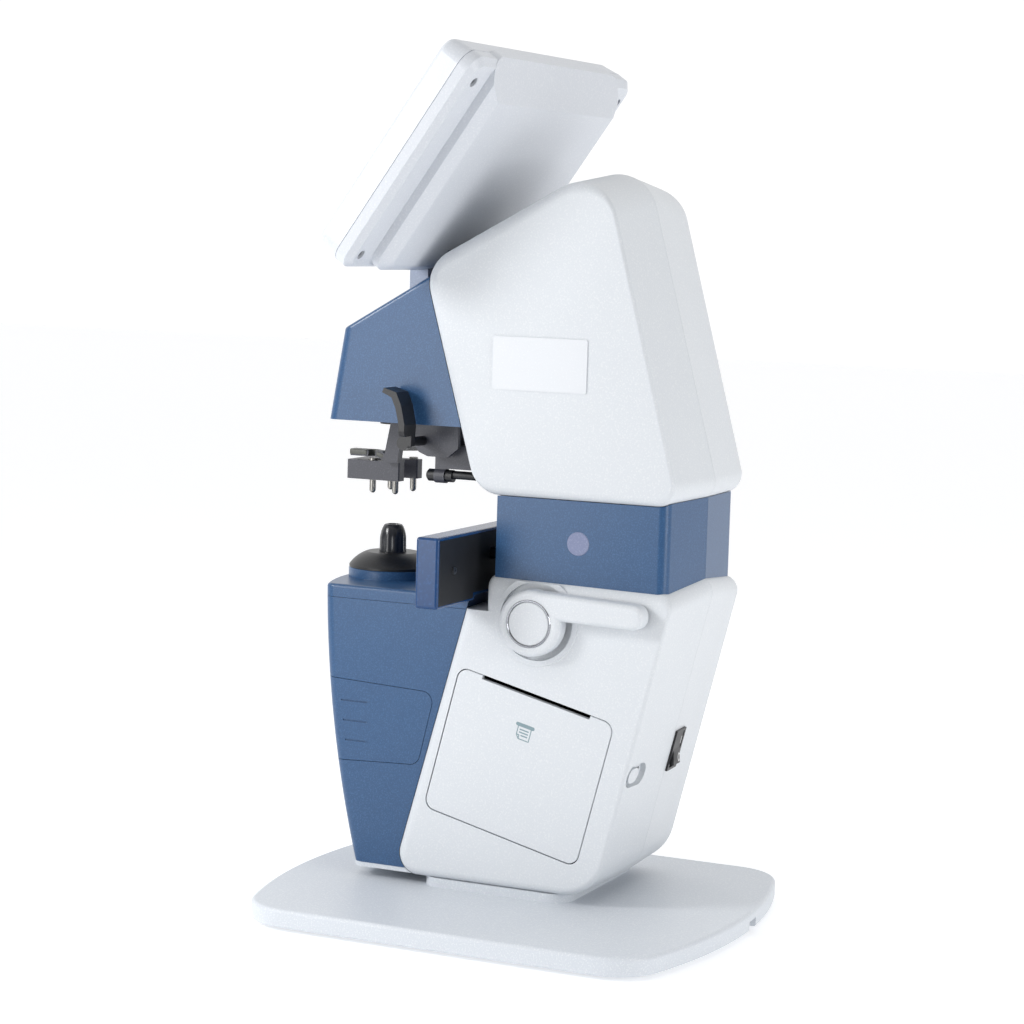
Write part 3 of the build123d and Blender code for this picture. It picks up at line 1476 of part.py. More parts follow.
def main_board():
    face = frame_left - standoff
    board = span(face - board_thick, face, main_board_front, main_board_rear, main_board_low, main_board_high)
    for y, z, size, tall in ((-2, 300, 11, 2), (22, 280, 8, 2), (28, 250, 7, 5), (0, 246, 9, 3)):
        board += span(face - board_thick - tall, face - board_thick, y - size, y + size, z - size, z + size)
    return board


def power_supply():
    case = span(frame_left - supply_thick, frame_left, supply_front, supply_rear, supply_low, supply_high)
    return fillet(case.edges().filter_by(Axis.Z), 1.5)


# Export
def main():
    lower_right, lower_left = lower_housings()
    upper_right, upper_left = upper_housings()
    neck_right, neck_left = neck_covers()
    column, access_cover = column_parts()
    pieces = {
        "base_plate": base_plate(),
        "rubber_feet": rubber_feet(),
        "plinths": tower_plinth() + column_plinth(),
        "cord_grommet": cord_grommet(),
        "chassis": chassis(),
        "lower_housing_right": lower_right,
        "lower_housing_left": lower_left,
        "upper_housing_right": upper_right,
        "upper_housing_left": upper_left,
        "frame_and_housing_screws": frame_screws() + boss_screws(),
        "neck_cover_right": neck_right,
        "neck_cover_left": neck_left,
        "neck_plugs": neck_plugs(),
        "name_plate": name_plate(),
        "front_column": column,
        "column_access_cover": access_cover,
        "column_cap": column_cap(),
        "nosepiece_ring": nosepiece_ring(),
        "lens_dome": lens_dome(),
        "nosepiece": nosepiece(),
        "nosepiece_window": nosepiece_window(),
        "sensor_tube": sensor_tube(),
        "sensor_board": sensor_board(),
        "head_cover": head_cover(),
        "light_barrel": light_barrel() + led_board(),
        "collimator_lens": collimator_lens(),
        "table_bar": table_bar(),
        "table_insert": table_insert(),
        "table_screws": table_screws(),
        "table_rods": table_rods(),
        "table_rack": table_rack(),
        "table_lever": table_lever(),
        "lever_ring": lever_ring_part(),
        "lever_cap": lever_cap(),
        "lever_shaft": lever_shaft(),
        "lever_pinion": lever_pinion(),
        "printer_door": printer_door(),
        "platen_roller": platen_roller(),
        "print_head": print_head(),
        "printer_tray": printer_tray(),
        "paper_roll": paper_roll(),
        "release_slider": release_slider(),
        "power_switch_body": switch_body(),
        "power_rocker": power_rocker(),
        "holder_block": holder_block(),
        "holder_end_cap": holder_cap_part(),
        "holder_strut": holder_strut() + holder_tab(),
        "holder_guide_rod": holder_guide(),
        "holder_lever": holder_lever(),
        "holder_bracket": holder_bracket(),
        "lens_pins": lens_pins(),
        "marker": marker(),
        "display_bezel": display_bezel(),
        "display_panel": display_panel() + display_board(),
        "display_rear_shell": display_rear_shell(),
        "display_screws": display_screws(),
        "display_hinge_pin": display_hinge_pin(),
        "display_neck": display_neck(),
        "main_board": main_board(),
        "power_supply": power_supply(),
    }
    for name, part in pieces.items():
        save(part, name)


main()
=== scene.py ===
# %% [markdown]
# # Dressing an auto lensmeter
# The instrument reads the power of a spectacle lens. The lens lies on the small black nosepiece, the sprung
# pins hold it down, the blue table steadies the frame, and the result shows on the tilted display or comes
# out on paper. Its solids arrive as a fixed frame, each already in its place. This file gives them their
# finishes, adds the marks and soft details that a solid lacks, and sets up the light and the camera.

import bpy
import numpy as np
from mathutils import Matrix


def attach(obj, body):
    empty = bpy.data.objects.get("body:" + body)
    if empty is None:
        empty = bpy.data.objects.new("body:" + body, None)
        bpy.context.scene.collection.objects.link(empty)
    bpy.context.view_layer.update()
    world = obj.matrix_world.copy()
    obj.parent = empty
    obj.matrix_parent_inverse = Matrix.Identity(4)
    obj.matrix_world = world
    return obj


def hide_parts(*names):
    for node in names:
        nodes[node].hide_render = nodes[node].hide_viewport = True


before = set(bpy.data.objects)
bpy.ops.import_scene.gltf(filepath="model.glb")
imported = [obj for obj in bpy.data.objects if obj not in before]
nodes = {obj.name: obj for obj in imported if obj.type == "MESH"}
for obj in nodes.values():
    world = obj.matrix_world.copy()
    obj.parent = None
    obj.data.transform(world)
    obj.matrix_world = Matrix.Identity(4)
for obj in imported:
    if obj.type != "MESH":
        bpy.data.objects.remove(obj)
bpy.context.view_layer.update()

# %% [markdown]
# ## One drawing frame
# Sizes below are in millimetres, measured from the tower's own centre plane, as a maker's drawing gives
# them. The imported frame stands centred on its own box, so every point is shifted once and turned to metres.

# %% Millimetres on the tower to metres in the frame
MM = 0.001
TOWER_SHIFT = np.array([-14.85, 5.0, 0.0])


def to_frame(points):
    """Point in the frame = (point on the tower + shift) times one millimetre."""
    return (np.asarray(points, float) + TOWER_SHIFT) * MM


def unit(vector):
    """The same direction with length one."""
    vector = np.asarray(vector, float)
    return vector / np.linalg.norm(vector)


print("nosepiece axis in the frame:", to_frame([0.0, -96.6, 165.3]))

# %% [markdown]
# ## Colours and nodes
# Paint makers give colours as hex values for the eye, and the renderer wants linear light, so one function
# turns them. A second small function adds a shader node with its settings and links. Everything else about
# a finish is then a short list of nodes that can be read from top to bottom.


# %% Turn a hex colour into linear light
def linear(hex_code):
    """Each channel c in 0 to 1 becomes c / 12.92 when small, else ((c + 0.055) / 1.055) to the power 2.4."""
    channels = np.array([int(hex_code[i:i + 2], 16) for i in (0, 2, 4)]) / 255
    light = np.where(channels <= 0.04045, channels / 12.92, ((channels + 0.055) / 1.055) ** 2.4)
    return (*light.tolist(), 1.0)


print("white paint in linear light:", [round(c, 3) for c in linear("E6E9EC")])


# %% Add one node
def add(tree, kind, sockets, **fields):
    """Adds a node, sets its fields, and gives each socket a number, a colour or another node's output."""
    node = tree.nodes.new(kind)
    for field, value in fields.items():
        setattr(node, field, value)
    for socket, value in sockets.items():
        if isinstance(value, bpy.types.NodeSocket):
            tree.links.new(value, node.inputs[socket])
        else:
            node.inputs[socket].default_value = value
    return node


# %% [markdown]
# ## A recipe for every coated or moulded skin
# Real mouldings are never one flat colour. A painted housing has flecks in its coat, a faint cloudiness
# where the coat is thicker, and a skin that is uneven by a few hundredths of a millimetre, which breaks up
# the reflections. The recipe mixes three colours by two noises and uses a third noise as height. Scales are
# real sizes: a noise of 1000 divided by the grain in millimetres has one grain to that length.


# %% The recipe
CLOUD_MM = 60


def skin(name, base, fleck, cloud, fleck_mm, fleck_from, fleck_to, skin_mm, skin_deep_mm, shader):
    """Colour = base mixed with the cloud colour by a slow noise, then with the fleck colour where a fine
    noise rises from fleck_from to fleck_to. Height = a noise of skin_mm grain, skin_deep_mm high."""
    material = bpy.data.materials.new(name)
    material.use_nodes = True
    tree = material.node_tree
    tree.nodes.clear()
    place = add(tree, "ShaderNodeTexCoord", {}).outputs["Object"]
    slow = add(tree, "ShaderNodeTexNoise", {"Vector": place, "Scale": 1 / (CLOUD_MM * MM), "Detail": 2.0})
    fine = add(tree, "ShaderNodeTexNoise", {"Vector": place, "Scale": 1 / (fleck_mm * MM), "Detail": 1.0})
    share = add(tree, "ShaderNodeMapRange", {"Value": fine.outputs["Fac"], "From Min": fleck_from,
                                             "From Max": fleck_to}, interpolation_type="SMOOTHSTEP")
    coat = add(tree, "ShaderNodeMix", {0: slow.outputs["Fac"], 6: linear(base), 7: linear(cloud)},
               data_type="RGBA")
    flecked = add(tree, "ShaderNodeMix", {0: share.outputs["Result"], 6: coat.outputs[2],
                                          7: linear(fleck)}, data_type="RGBA")
    grain = add(tree, "ShaderNodeTexNoise", {"Vector": place, "Scale": 1 / (skin_mm * MM), "Detail": 2.0})
    bump = add(tree, "ShaderNodeBump", {"Height": grain.outputs["Fac"], "Strength": 1.0,
                                        "Distance": skin_deep_mm * MM})
    sockets = {"Base Color": flecked.outputs[2], "Normal": bump.outputs["Normal"]}
    surface = add(tree, "ShaderNodeBsdfPrincipled", {**sockets, **shader})
    add(tree, "ShaderNodeOutputMaterial", {"Surface": surface.outputs["BSDF"]})
    return material


# %% [markdown]
# ## White and blue housings
# The big shells are moulded ABS with a sprayed two-pack coat. The white one is cool and satin, with a skin
# that is almost smooth. The blue one is a textured coat: faint paler grains under a millimetre across sit
# on a slate blue, and its reflections are broad. The base plate is steel with a powder coat, a little
# greyer. The table bar alone is baked enamel, a purer blue that shines enough to mirror the pale room.
# Each colour is a shade darker than it looks, because the lamps lift the faces towards the camera.

# %% Housing finishes
white_coat = skin("white_sprayed_abs", "D6DADE", "DDE0E3", "D2D6DB", 0.9, 0.5, 0.75, 1.4, 0.012,
                  {"Roughness": 0.42, "IOR": 1.5})
display_coat = skin("white_sprayed_abs_display", "D6DAE0", "DDE0E5", "D2D6DD", 0.9, 0.5, 0.75, 1.2, 0.012,
                    {"Roughness": 0.38, "IOR": 1.5})
blue_coat = skin("slate_blue_textured_coat", "2E537C", "3A6089", "294C74", 0.7, 0.45, 0.75, 0.8, 0.01,
                 {"Roughness": 0.3, "IOR": 1.5})
blue_enamel = skin("blue_baked_enamel", "133F70", "19487C", "103968", 1.5, 0.5, 0.8, 3.0, 0.006,
                   {"Roughness": 0.24, "IOR": 1.5})
plate_coat = skin("pale_powder_coat", "D0D5DB", "DADEE2", "CBD0D7", 0.8, 0.5, 0.72, 0.8, 0.02,
                  {"Roughness": 0.45, "IOR": 1.5})
neck_plastic = skin("grey_blue_moulded_abs", "9FA9BC", "A9B2C3", "98A2B6", 0.8, 0.5, 0.75, 0.9, 0.015,
                    {"Roughness": 0.45, "IOR": 1.5})
plug_plastic = skin("lilac_moulded_plug", "7E87A6", "8C94B0", "7980A0", 0.7, 0.5, 0.75, 0.9, 0.015,
                    {"Roughness": 0.5, "IOR": 1.5})
bare_plate = skin("matt_plate_film", "DBDEE2", "DFE2E5", "D7DADF", 0.9, 0.55, 0.8, 2.0, 0.006,
                  {"Roughness": 0.3, "IOR": 1.5})
print("coats:", white_coat.name, blue_coat.name, plate_coat.name)

# %% [markdown]
# ## Black and grey plastics, rubber and glass
# The lens dome and the holder are glass-filled nylon, moulded against a spark-eroded tool, so they are
# nearly black with a fine dull grain. The pinch parts are lighter dark greys. The nosepiece is a soft
# synthetic rubber that scatters light wider than the hard plastic. Glass is dark where a screen is behind.

# %% Dark finishes
black_nylon = skin("black_glass_filled_nylon", "17181B", "242529", "141518", 0.7, 0.5, 0.8, 0.7, 0.02,
                   {"Roughness": 0.38, "IOR": 1.53})
grey_nylon = skin("dark_grey_moulded_nylon", "45464E", "53545C", "3E3F47", 0.7, 0.5, 0.8, 0.7, 0.02,
                  {"Roughness": 0.42, "IOR": 1.53})
black_rubber = skin("black_synthetic_rubber", "17181A", "222326", "131416", 0.8, 0.5, 0.8, 0.6, 0.015,
                    {"Roughness": 0.36, "IOR": 1.52})
nose_rubber = skin("polished_nosepiece_rubber", "2A2C31", "2F3136", "26282D", 1.5, 0.5, 0.8, 2.0, 0.004,
                   {"Roughness": 0.22, "IOR": 1.52})
olive_nylon = skin("grey_nylon_thumb_tab", "55564F", "605F58", "4C4D47", 0.8, 0.5, 0.8, 0.8, 0.015,
                   {"Roughness": 0.4, "IOR": 1.53})
mark_ink = skin("teal_grey_screen_ink", "8399A0", "889DA3", "7E949B", 0.5, 0.5, 0.8, 0.5, 0.002,
                {"Roughness": 0.5, "IOR": 1.48})
switch_ink = skin("white_pad_ink", "D9DADB", "DEDFE0", "D2D3D4", 0.5, 0.5, 0.8, 0.5, 0.002,
                  {"Roughness": 0.5, "IOR": 1.48})
insert_sheet = skin("black_soft_touch_sheet", "17191E", "1E2026", "14161A", 0.8, 0.5, 0.8, 0.6, 0.01,
                    {"Roughness": 0.5, "IOR": 1.5})
screen_glass = skin("black_screen_glass", "08090B", "0A0B0D", "07080A", 5.0, 0.4, 0.9, 30.0, 0.002,
                    {"Roughness": 0.08, "IOR": 1.52, "Coat Weight": 0.5, "Coat Roughness": 0.03})
lens_glass = skin("optical_glass", "C9D6DE", "D0DCE3", "C4D2DB", 5.0, 0.4, 0.9, 30.0, 0.001,
                  {"Roughness": 0.03, "IOR": 1.52, "Transmission Weight": 0.85})
print("dark finishes:", black_nylon.name, grey_nylon.name, black_rubber.name)


# %% [markdown]
# ## Metals, boards and paper
# Turned and drawn metal shows faint lines across its length, so the noise is stretched along one axis.
# Circuit boards are green resist over a dim copper pattern, and receipt paper is a smooth warm white.


# %% Metal with tool lines
LINE_DEEP_MM, SMOOTHER, ROUGHER = 0.01, 0.7, 1.3


def metal(name, colour, dark, line_mm, stretch, roughness):
    """Colour and roughness follow one noise whose grain is line_mm, divided by stretch on each axis, so that
    a small stretch draws it out into lines along that axis."""
    material = bpy.data.materials.new(name)
    material.use_nodes = True
    tree = material.node_tree
    tree.nodes.clear()
    place = add(tree, "ShaderNodeTexCoord", {}).outputs["Object"]
    drawn = add(tree, "ShaderNodeMapping", {"Vector": place, "Scale": stretch})
    lines = add(tree, "ShaderNodeTexNoise", {"Vector": drawn.outputs["Vector"],
                                             "Scale": 1 / (line_mm * MM), "Detail": 3.0})
    shade = add(tree, "ShaderNodeMix", {0: lines.outputs["Fac"], 6: linear(colour), 7: linear(dark)},
                data_type="RGBA")
    rough = add(tree, "ShaderNodeMapRange", {"Value": lines.outputs["Fac"], "To Min": roughness * SMOOTHER,
                                             "To Max": roughness * ROUGHER})
    bump = add(tree, "ShaderNodeBump", {"Height": lines.outputs["Fac"], "Strength": 0.6,
                                        "Distance": LINE_DEEP_MM * MM})
    surface = add(tree, "ShaderNodeBsdfPrincipled", {"Base Color": shade.outputs[2], "Metallic": 1.0,
                                                     "Roughness": rough.outputs["Result"],
                                                     "Normal": bump.outputs["Normal"]})
    add(tree, "ShaderNodeOutputMaterial", {"Surface": surface.outputs["BSDF"]})
    return material


# %% Metal, board and paper finishes
chrome = metal("bright_chrome_plate", "A9ABB0", "8E9096", 1.2, (1.0, 1.0, 1.0), 0.16)
pin_steel = metal("turned_stainless_steel", "B9B7B2", "94928D", 0.5, (1.0, 1.0, 3.0), 0.28)
rod_steel = metal("ground_steel", "A6A8AB", "8A8C90", 0.4, (1.0, 0.1, 1.0), 0.24)
black_oxide = metal("blackened_ground_steel", "3A3B3E", "2B2C2F", 0.4, (1.0, 0.1, 1.0), 0.3)
screw_steel = metal("zinc_plated_screw", "8F9196", "6C6E73", 0.5, (1.0, 1.0, 1.0), 0.32)
cast_metal = metal("tumbled_cast_aluminium", "B4B7BB", "9EA1A6", 1.6, (1.0, 1.0, 1.0), 0.42)
brass = metal("milled_brass", "C7A65B", "A98842", 0.5, (0.2, 1.0, 1.0), 0.3)
board_green = skin("green_circuit_board", "1E5B3A", "2E7A4C", "194D31", 1.5, 0.5, 0.6, 1.0, 0.03,
                   {"Roughness": 0.35, "IOR": 1.5})
paper = skin("thermal_paper", "F0EEE8", "F5F3EE", "ECE9E2", 0.6, 0.5, 0.8, 0.5, 0.01,
             {"Roughness": 0.7, "IOR": 1.45})
print("metals:", chrome.name, pin_steel.name, brass.name)

# %% [markdown]
# ## Which solid wears which finish
# One table gives every solid its finish. A solid keeps its own mesh; only its material slots change.

# %% Give every solid its finish
wears = {
    white_coat: ["lower_housing_right", "lower_housing_left", "upper_housing_right", "upper_housing_left",
                 "printer_door", "table_lever", "lever_cap", "release_slider"],
    display_coat: ["display_bezel", "display_rear_shell"],
    plate_coat: ["base_plate", "plinths"],
    blue_coat: ["neck_cover_right", "neck_cover_left", "front_column", "column_cap", "column_access_cover",
                "head_cover", "nosepiece_ring"],
    blue_enamel: ["table_bar"],
    neck_plastic: ["display_neck"],
    plug_plastic: ["neck_plugs"],
    bare_plate: ["name_plate"],
    black_nylon: ["lens_dome", "light_barrel", "holder_lever", "marker", "print_head", "power_switch_body",
                  "power_rocker", "display_hinge_pin"],
    grey_nylon: ["holder_block", "holder_end_cap", "holder_strut", "holder_bracket", "printer_tray"],
    black_rubber: ["nosepiece", "rubber_feet", "cord_grommet", "platen_roller"],
    insert_sheet: ["table_insert"],
    screen_glass: ["display_panel"],
    lens_glass: ["nosepiece_window", "collimator_lens"],
    chrome: ["lever_ring"],
    pin_steel: ["lens_pins"],
    rod_steel: ["lever_shaft", "holder_guide_rod"],
    black_oxide: ["table_rods"],
    screw_steel: ["display_screws", "table_screws", "frame_and_housing_screws"],
    cast_metal: ["chassis", "sensor_tube", "table_rack", "power_supply"],
    brass: ["lever_pinion"],
    board_green: ["sensor_board", "main_board"],
    paper: ["paper_roll"],
}
dressed = 0
for finish, names in wears.items():
    for name in names:
        for place in nodes[name].material_slots:
            place.material = finish
        dressed += 1
print("solids dressed:", dressed, "of", len(nodes))

# %% [markdown]
# ## Skins through grids of points
# The small pieces that the solids lack are smooth surfaces worked out by formula. Each is a grid of points:
# rows run along the piece, columns run round it. One function joins neighbours into faces. A ring joins its
# last row to its first, and any other piece ends in two single points, its poles, so no surface is open.


# %% Grid of points to a piece
def surface(name, grid, ring, finish, body, slot):
    """Columns always join round. Rows join round too when ring is true. The faces are turned outwards: the
    sum of the volumes between each face and the origin must be positive."""
    rows, columns = grid.shape[:2]
    if ring:
        points = grid.reshape(-1, 3)
        index = np.arange(rows * columns).reshape(rows, columns)
        index = np.vstack([index, index[:1]])
    else:
        points = np.vstack([grid[0, :1], grid[1:-1].reshape(-1, 3), grid[-1, :1]])
        inner = 1 + np.arange((rows - 2) * columns).reshape(rows - 2, columns)
        index = np.vstack([np.zeros((1, columns), int), inner, np.full((1, columns), len(points) - 1)])
    beside = np.roll(index, -1, axis=1)
    quads = np.stack([index[:-1], beside[:-1], beside[1:], index[1:]], axis=-1).reshape(-1, 4)
    a, b, c, d = (points[quads[:, i]] for i in range(4))
    volume = np.einsum("ij,ij->i", a, np.cross(b, c) + np.cross(c, d)).sum()
    quads = quads if volume > 0 else quads[:, ::-1]
    faces = [list(dict.fromkeys(face)) for face in quads.tolist()]
    mesh = bpy.data.meshes.new(name)
    mesh.from_pydata(to_frame(points).tolist(), [], faces)
    mesh.polygons.foreach_set("use_smooth", np.ones(len(faces), bool))
    mesh.materials.append(finish)
    mesh.update()
    thing = bpy.data.objects.new(name, mesh)
    bpy.context.scene.collection.objects.link(thing)
    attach(thing, body)
    return thing


# %% A flat oval drawn along a path
END_ROWS = 6


def stroke(path, up, half_width, half_height, closed, columns=16):
    """Row = path point + across times half_width times cos a + up times half_height times sin a, for angle a
    round the oval. An open path gets round ends: the oval shrinks with the cosine of a quarter turn."""
    path = np.asarray(path, float)
    up = unit(up)
    if closed:
        along = np.roll(path, -1, axis=0) - np.roll(path, 1, axis=0)
        width = np.ones(len(path))
    else:
        along = np.gradient(path, axis=0)
        quarter = np.linspace(0, np.pi / 2, END_ROWS + 1)[:0:-1]
        first, last = unit(along[0]), unit(along[-1])
        start = path[0] - first * half_width * np.sin(quarter)[:, None]
        end = path[-1] + last * half_width * np.sin(quarter[::-1])[:, None]
        path = np.vstack([start, path, end])
        along = np.vstack([np.tile(first, (END_ROWS, 1)), along, np.tile(last, (END_ROWS, 1))])
        straight = np.ones(len(along) - 2 * END_ROWS)
        width = np.concatenate([np.cos(quarter), straight, np.cos(quarter[::-1])])
    along = along / np.linalg.norm(along, axis=1)[:, None]
    across = np.cross(up, along)
    turn = np.linspace(0, 2 * np.pi, columns, endpoint=False)
    size = width[:, None, None]
    grid = path[:, None] + size * half_width * np.cos(turn)[None, :, None] * across[:, None]
    return grid + size * half_height * np.sin(turn)[None, :, None] * up


def between(corners, closed, steps=12):
    """A path through the corners with the same number of steps on each straight line."""
    corners = np.asarray(corners, float)
    ends = np.vstack([corners[1:], corners[:1]]) if closed else corners[1:]
    share = np.arange(steps)[:, None] / steps
    path = np.concatenate([a + (b - a) * share for a, b in zip(corners, ends)])
    return path if closed else np.vstack([path, corners[-1:]])


# %% [markdown]
# ## Nosepiece
# The nosepiece carries the lens, so it is soft and polished and touches the glass on a narrow rim. Its wall
# has ten shallow flutes for the fingers that unscrew it. The solid has twelve plain round cuts in their
# place. Here it is a ring of sections: the outline runs up outside and down the bore, and the radius dips
# ten times a turn.

# %% Fluted nosepiece
NOSE_Y, FLUTES, FLUTE_DEEP, NOSE_COLUMNS, WALL_ROWS = -96.6, 10, 0.42, 160, 13
FLUTE_LOW, FLUTE_HIGH, FADE_LOW, FADE_HIGH = 178.6, 189.8, 1.2, 3.4
outside = np.array([[7.25, 177.0], [7.25, 178.2], [7.2, 180.0], [7.16, 182.0], [7.12, 184.0], [7.1, 185.6],
                    [6.98, 187.0], [6.75, 188.4], [6.4, 189.7], [5.95, 191.0], [5.45, 192.1], [4.95, 192.9],
                    [4.5, 193.3], [4.1, 193.4], [3.6, 193.4], [3.2, 193.3], [3.02, 193.0], [3.0, 192.0],
                    [3.0, 190.2], [3.0, 188.55], [3.98, 188.5], [4.0, 186.0], [4.0, 181.0], [4.0, 177.0]])
radius, height = outside.T
outer_wall = np.arange(len(outside)) < WALL_ROWS
fade_in = np.clip((height - FLUTE_LOW) / FADE_LOW, 0, 1)
fade_out = np.clip((FLUTE_HIGH - height) / FADE_HIGH, 0, 1)
deep = FLUTE_DEEP * fade_in * fade_out * outer_wall
round_turn = np.linspace(0, 2 * np.pi, NOSE_COLUMNS, endpoint=False)
dip = (0.5 - 0.5 * np.cos(FLUTES * round_turn)) ** 2
spread = radius[:, None] - deep[:, None] * dip
fluted = np.stack([spread * np.cos(round_turn), NOSE_Y + spread * np.sin(round_turn),
                   np.repeat(height[:, None], round_turn.size, axis=1)], axis=-1)
nosepiece = surface("fluted_nosepiece", fluted, True, nose_rubber, "tower", "black_plastic")
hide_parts("nosepiece")
print("nosepiece points:", fluted.shape)

# %% [markdown]
# ## Thumb tab
# A separate lighter moulding is clipped over the holder's arm, where the thumb presses. It is flat at the
# free end and bends down to the block in one soft curve, so its outline is swept through a smooth path.
# One sprung pin rises beside it, so the edge on that side steps back round the pin in an arc.

# %% Curved tab over the holder's own
TAB_X, TAB_ROWS, TAB_COLUMNS, SQUARENESS = 8.6, 60, 48, 0.35
NOTCH_X, NOTCH_Y, NOTCH_RADIUS = 10.6, -104.25, 2.8
tab_path = np.array([[-117.3, 232.0], [-113.0, 232.0], [-108.0, 232.0], [-103.5, 231.95], [-100.9, 231.7],
                     [-98.6, 230.9], [-97.2, 230.2], [-96.0, 229.7], [-94.9, 229.4]])
along_path = np.linspace(0, len(tab_path) - 1, TAB_ROWS)
tab_y, tab_z = (np.interp(along_path, np.arange(len(tab_path)), tab_path[:, i]) for i in (0, 1))
tab_half = np.interp(along_path, [0, 5, 8], [4.15, 4.15, 3.6])
tab_deep = np.interp(along_path, [0, 3, 5, 8], [1.6, 1.55, 1.4, 1.0])
tab_line = np.stack([np.full(TAB_ROWS, TAB_X), tab_y, tab_z], axis=1)
tab_along = np.gradient(tab_line, axis=0)
tab_along /= np.linalg.norm(tab_along, axis=1)[:, None]
side_way = np.array([1.0, 0.0, 0.0])
tab_up = np.cross(side_way, tab_along)
from_pin = tab_y - NOTCH_Y
notch = NOTCH_X - np.sqrt(np.clip(NOTCH_RADIUS ** 2 - from_pin ** 2, 0, None))
near_edge = np.where(np.abs(from_pin) < NOTCH_RADIUS, notch, TAB_X + tab_half)
far_edge = TAB_X - tab_half
tab_line[:, 0] = (near_edge + far_edge) / 2
tab_half = (near_edge - far_edge) / 2
tab_turn = np.linspace(0, 2 * np.pi, TAB_COLUMNS, endpoint=False)
oval_x = np.sign(np.cos(tab_turn)) * np.abs(np.cos(tab_turn)) ** SQUARENESS
oval_z = np.sign(np.sin(tab_turn)) * np.abs(np.sin(tab_turn)) ** SQUARENESS
tab_grid = (tab_line[:, None] + (tab_half[:, None] * oval_x)[..., None] * side_way
            + (tab_deep[:, None] * oval_z)[..., None] * tab_up[:, None])
front_pole = np.repeat(tab_line[:1, None], TAB_COLUMNS, axis=1)
rear_pole = np.repeat(tab_line[-1:, None], TAB_COLUMNS, axis=1)
tab_grid = np.vstack([front_pole, tab_grid, rear_pole])
surface("thumb_tab", tab_grid, False, olive_nylon, "lens_holder", "grey_plastic")
print("tab points:", tab_grid.shape)

# %% [markdown]
# ## Printed marks
# Two marks are printed in ink: a plain picture of a printer on the paper cover, and the strokes for on and
# off on the rocker. Ink stands only hundredths of a millimetre above the plastic, so each mark is a flat
# oval drawn along a path that lies on the surface, and it moves with the piece that carries it.


# %% Picture of a printer on the cover
COVER_CORNER, COVER_TURN = np.array([50.2, -31.0, 128.7]), np.radians(13.9)
INK = 0.04


def on_cover(points):
    """Cover point (u along the slot, v up the cover) to the tower: corner + u times along + v times up."""
    u, v = np.asarray(points, float).T
    along = np.array([0.0, np.cos(COVER_TURN), -np.sin(COVER_TURN)])
    rise = np.array([0.0, np.sin(COVER_TURN), np.cos(COVER_TURN)])
    return COVER_CORNER + u[:, None] * along + v[:, None] * rise


cover_marks = {
    "bar": ([[38.6, -17.2], [47.4, -17.2]], False, 0.95),
    "sheet": ([[39.3, -17.8], [39.3, -22.6], [40.8, -24.6], [46.7, -24.6], [46.7, -17.8]], False, 0.28),
    "fold": ([[39.5, -22.6], [40.8, -22.6], [40.8, -24.4]], False, 0.3),
    "line_1": ([[40.7, -19.6], [45.3, -19.6]], False, 0.36),
    "line_2": ([[40.7, -21.1], [45.3, -21.1]], False, 0.36),
    "line_3": ([[42.0, -22.6], [45.3, -22.6]], False, 0.36),
}
for name, (corners, closed, half_width) in cover_marks.items():
    path = on_cover(between(corners, closed))
    surface("printer_mark_" + name, stroke(path, [1, 0, 0], half_width, INK, closed), closed, mark_ink,
            "printer_cover", "grey_blue_plastic")
print("strokes on the cover:", len(cover_marks))

# %% Strokes on the rocker
ROCKER_LEAN, ROCKER_RISE, PIVOT_DEEP, STROKE_HALF = 8.0, 5.0, 4.0, 0.42
FACET_LEAN, FACET_TURN = 0.2298, -0.05315
tip = np.radians(ROCKER_LEAN)
WING = np.tan(tip)
facet_out = unit([FACET_TURN, 1.0, -FACET_LEAN])
facet_across = unit([1.0, -FACET_TURN, 0.0])
facet_down = np.cross(facet_out, facet_across)
pivot = np.array([-8.4, 67.068, 87.0]) - PIVOT_DEEP * facet_out
rocker_down = np.cos(tip) * facet_down + np.sin(tip) * facet_out
rocker_out = np.cos(tip) * facet_out - np.sin(tip) * facet_down


def on_rocker(points):
    """Rocker point (x across, y down) to the tower, on the wing that rises by the tangent of its slope."""
    x, y = np.asarray(points, float).T
    rise = ROCKER_RISE + WING * np.abs(y)
    return pivot + x[:, None] * facet_across + y[:, None] * rocker_down + rise[:, None] * rocker_out


oval = np.linspace(0, 2 * np.pi, 48, endpoint=False)
off_ring = np.stack([1.5 * np.cos(oval), 4.6 + 1.9 * np.sin(oval)], axis=1)
on_line = between([[0.0, -6.4], [0.0, -3.0]], False)
for name, path, closed, side in (("on", on_line, False, -1), ("off", off_ring, True, 1)):
    wing_up = rocker_out - side * WING * rocker_down
    surface("rocker_mark_" + name, stroke(on_rocker(path), wing_up, STROKE_HALF, INK, closed), closed,
            switch_ink, "rocker", "grey_blue_plastic")
print("rocker pivot in the frame:", to_frame(pivot))

# %% [markdown]
# ## Stage, light and camera
# The object was photographed against white, in a room that is dimmer on the camera's side. So the backdrop
# fades for directions with a positive X, and behind the object for a positive Y, while the ceiling stays
# even. The paper floor has a painted glow, painted light that keeps it white, and a painted shade that turns
# it a soft grey on the camera's side, where the glow weakens too. A softbox at the operator's side throws the
# soft-edged shadows of the lever and the table bar. A weak one stands low, where the side of the head mirrors
# it, and one behind lights the rear. The camera looks from the right and a little behind, with a long lens.


# %% Floor
def flat_sheet(name, half, z):
    """A square of four corners at (plus or minus half, plus or minus half, z)."""
    mesh = bpy.data.meshes.new(name)
    corners = np.array([[-half, -half, z], [half, -half, z], [half, half, z], [-half, half, z]])
    mesh.from_pydata(corners.tolist(), [], [[0, 1, 2, 3]])
    thing = bpy.data.objects.new(name, mesh)
    bpy.context.scene.collection.objects.link(thing)
    return thing


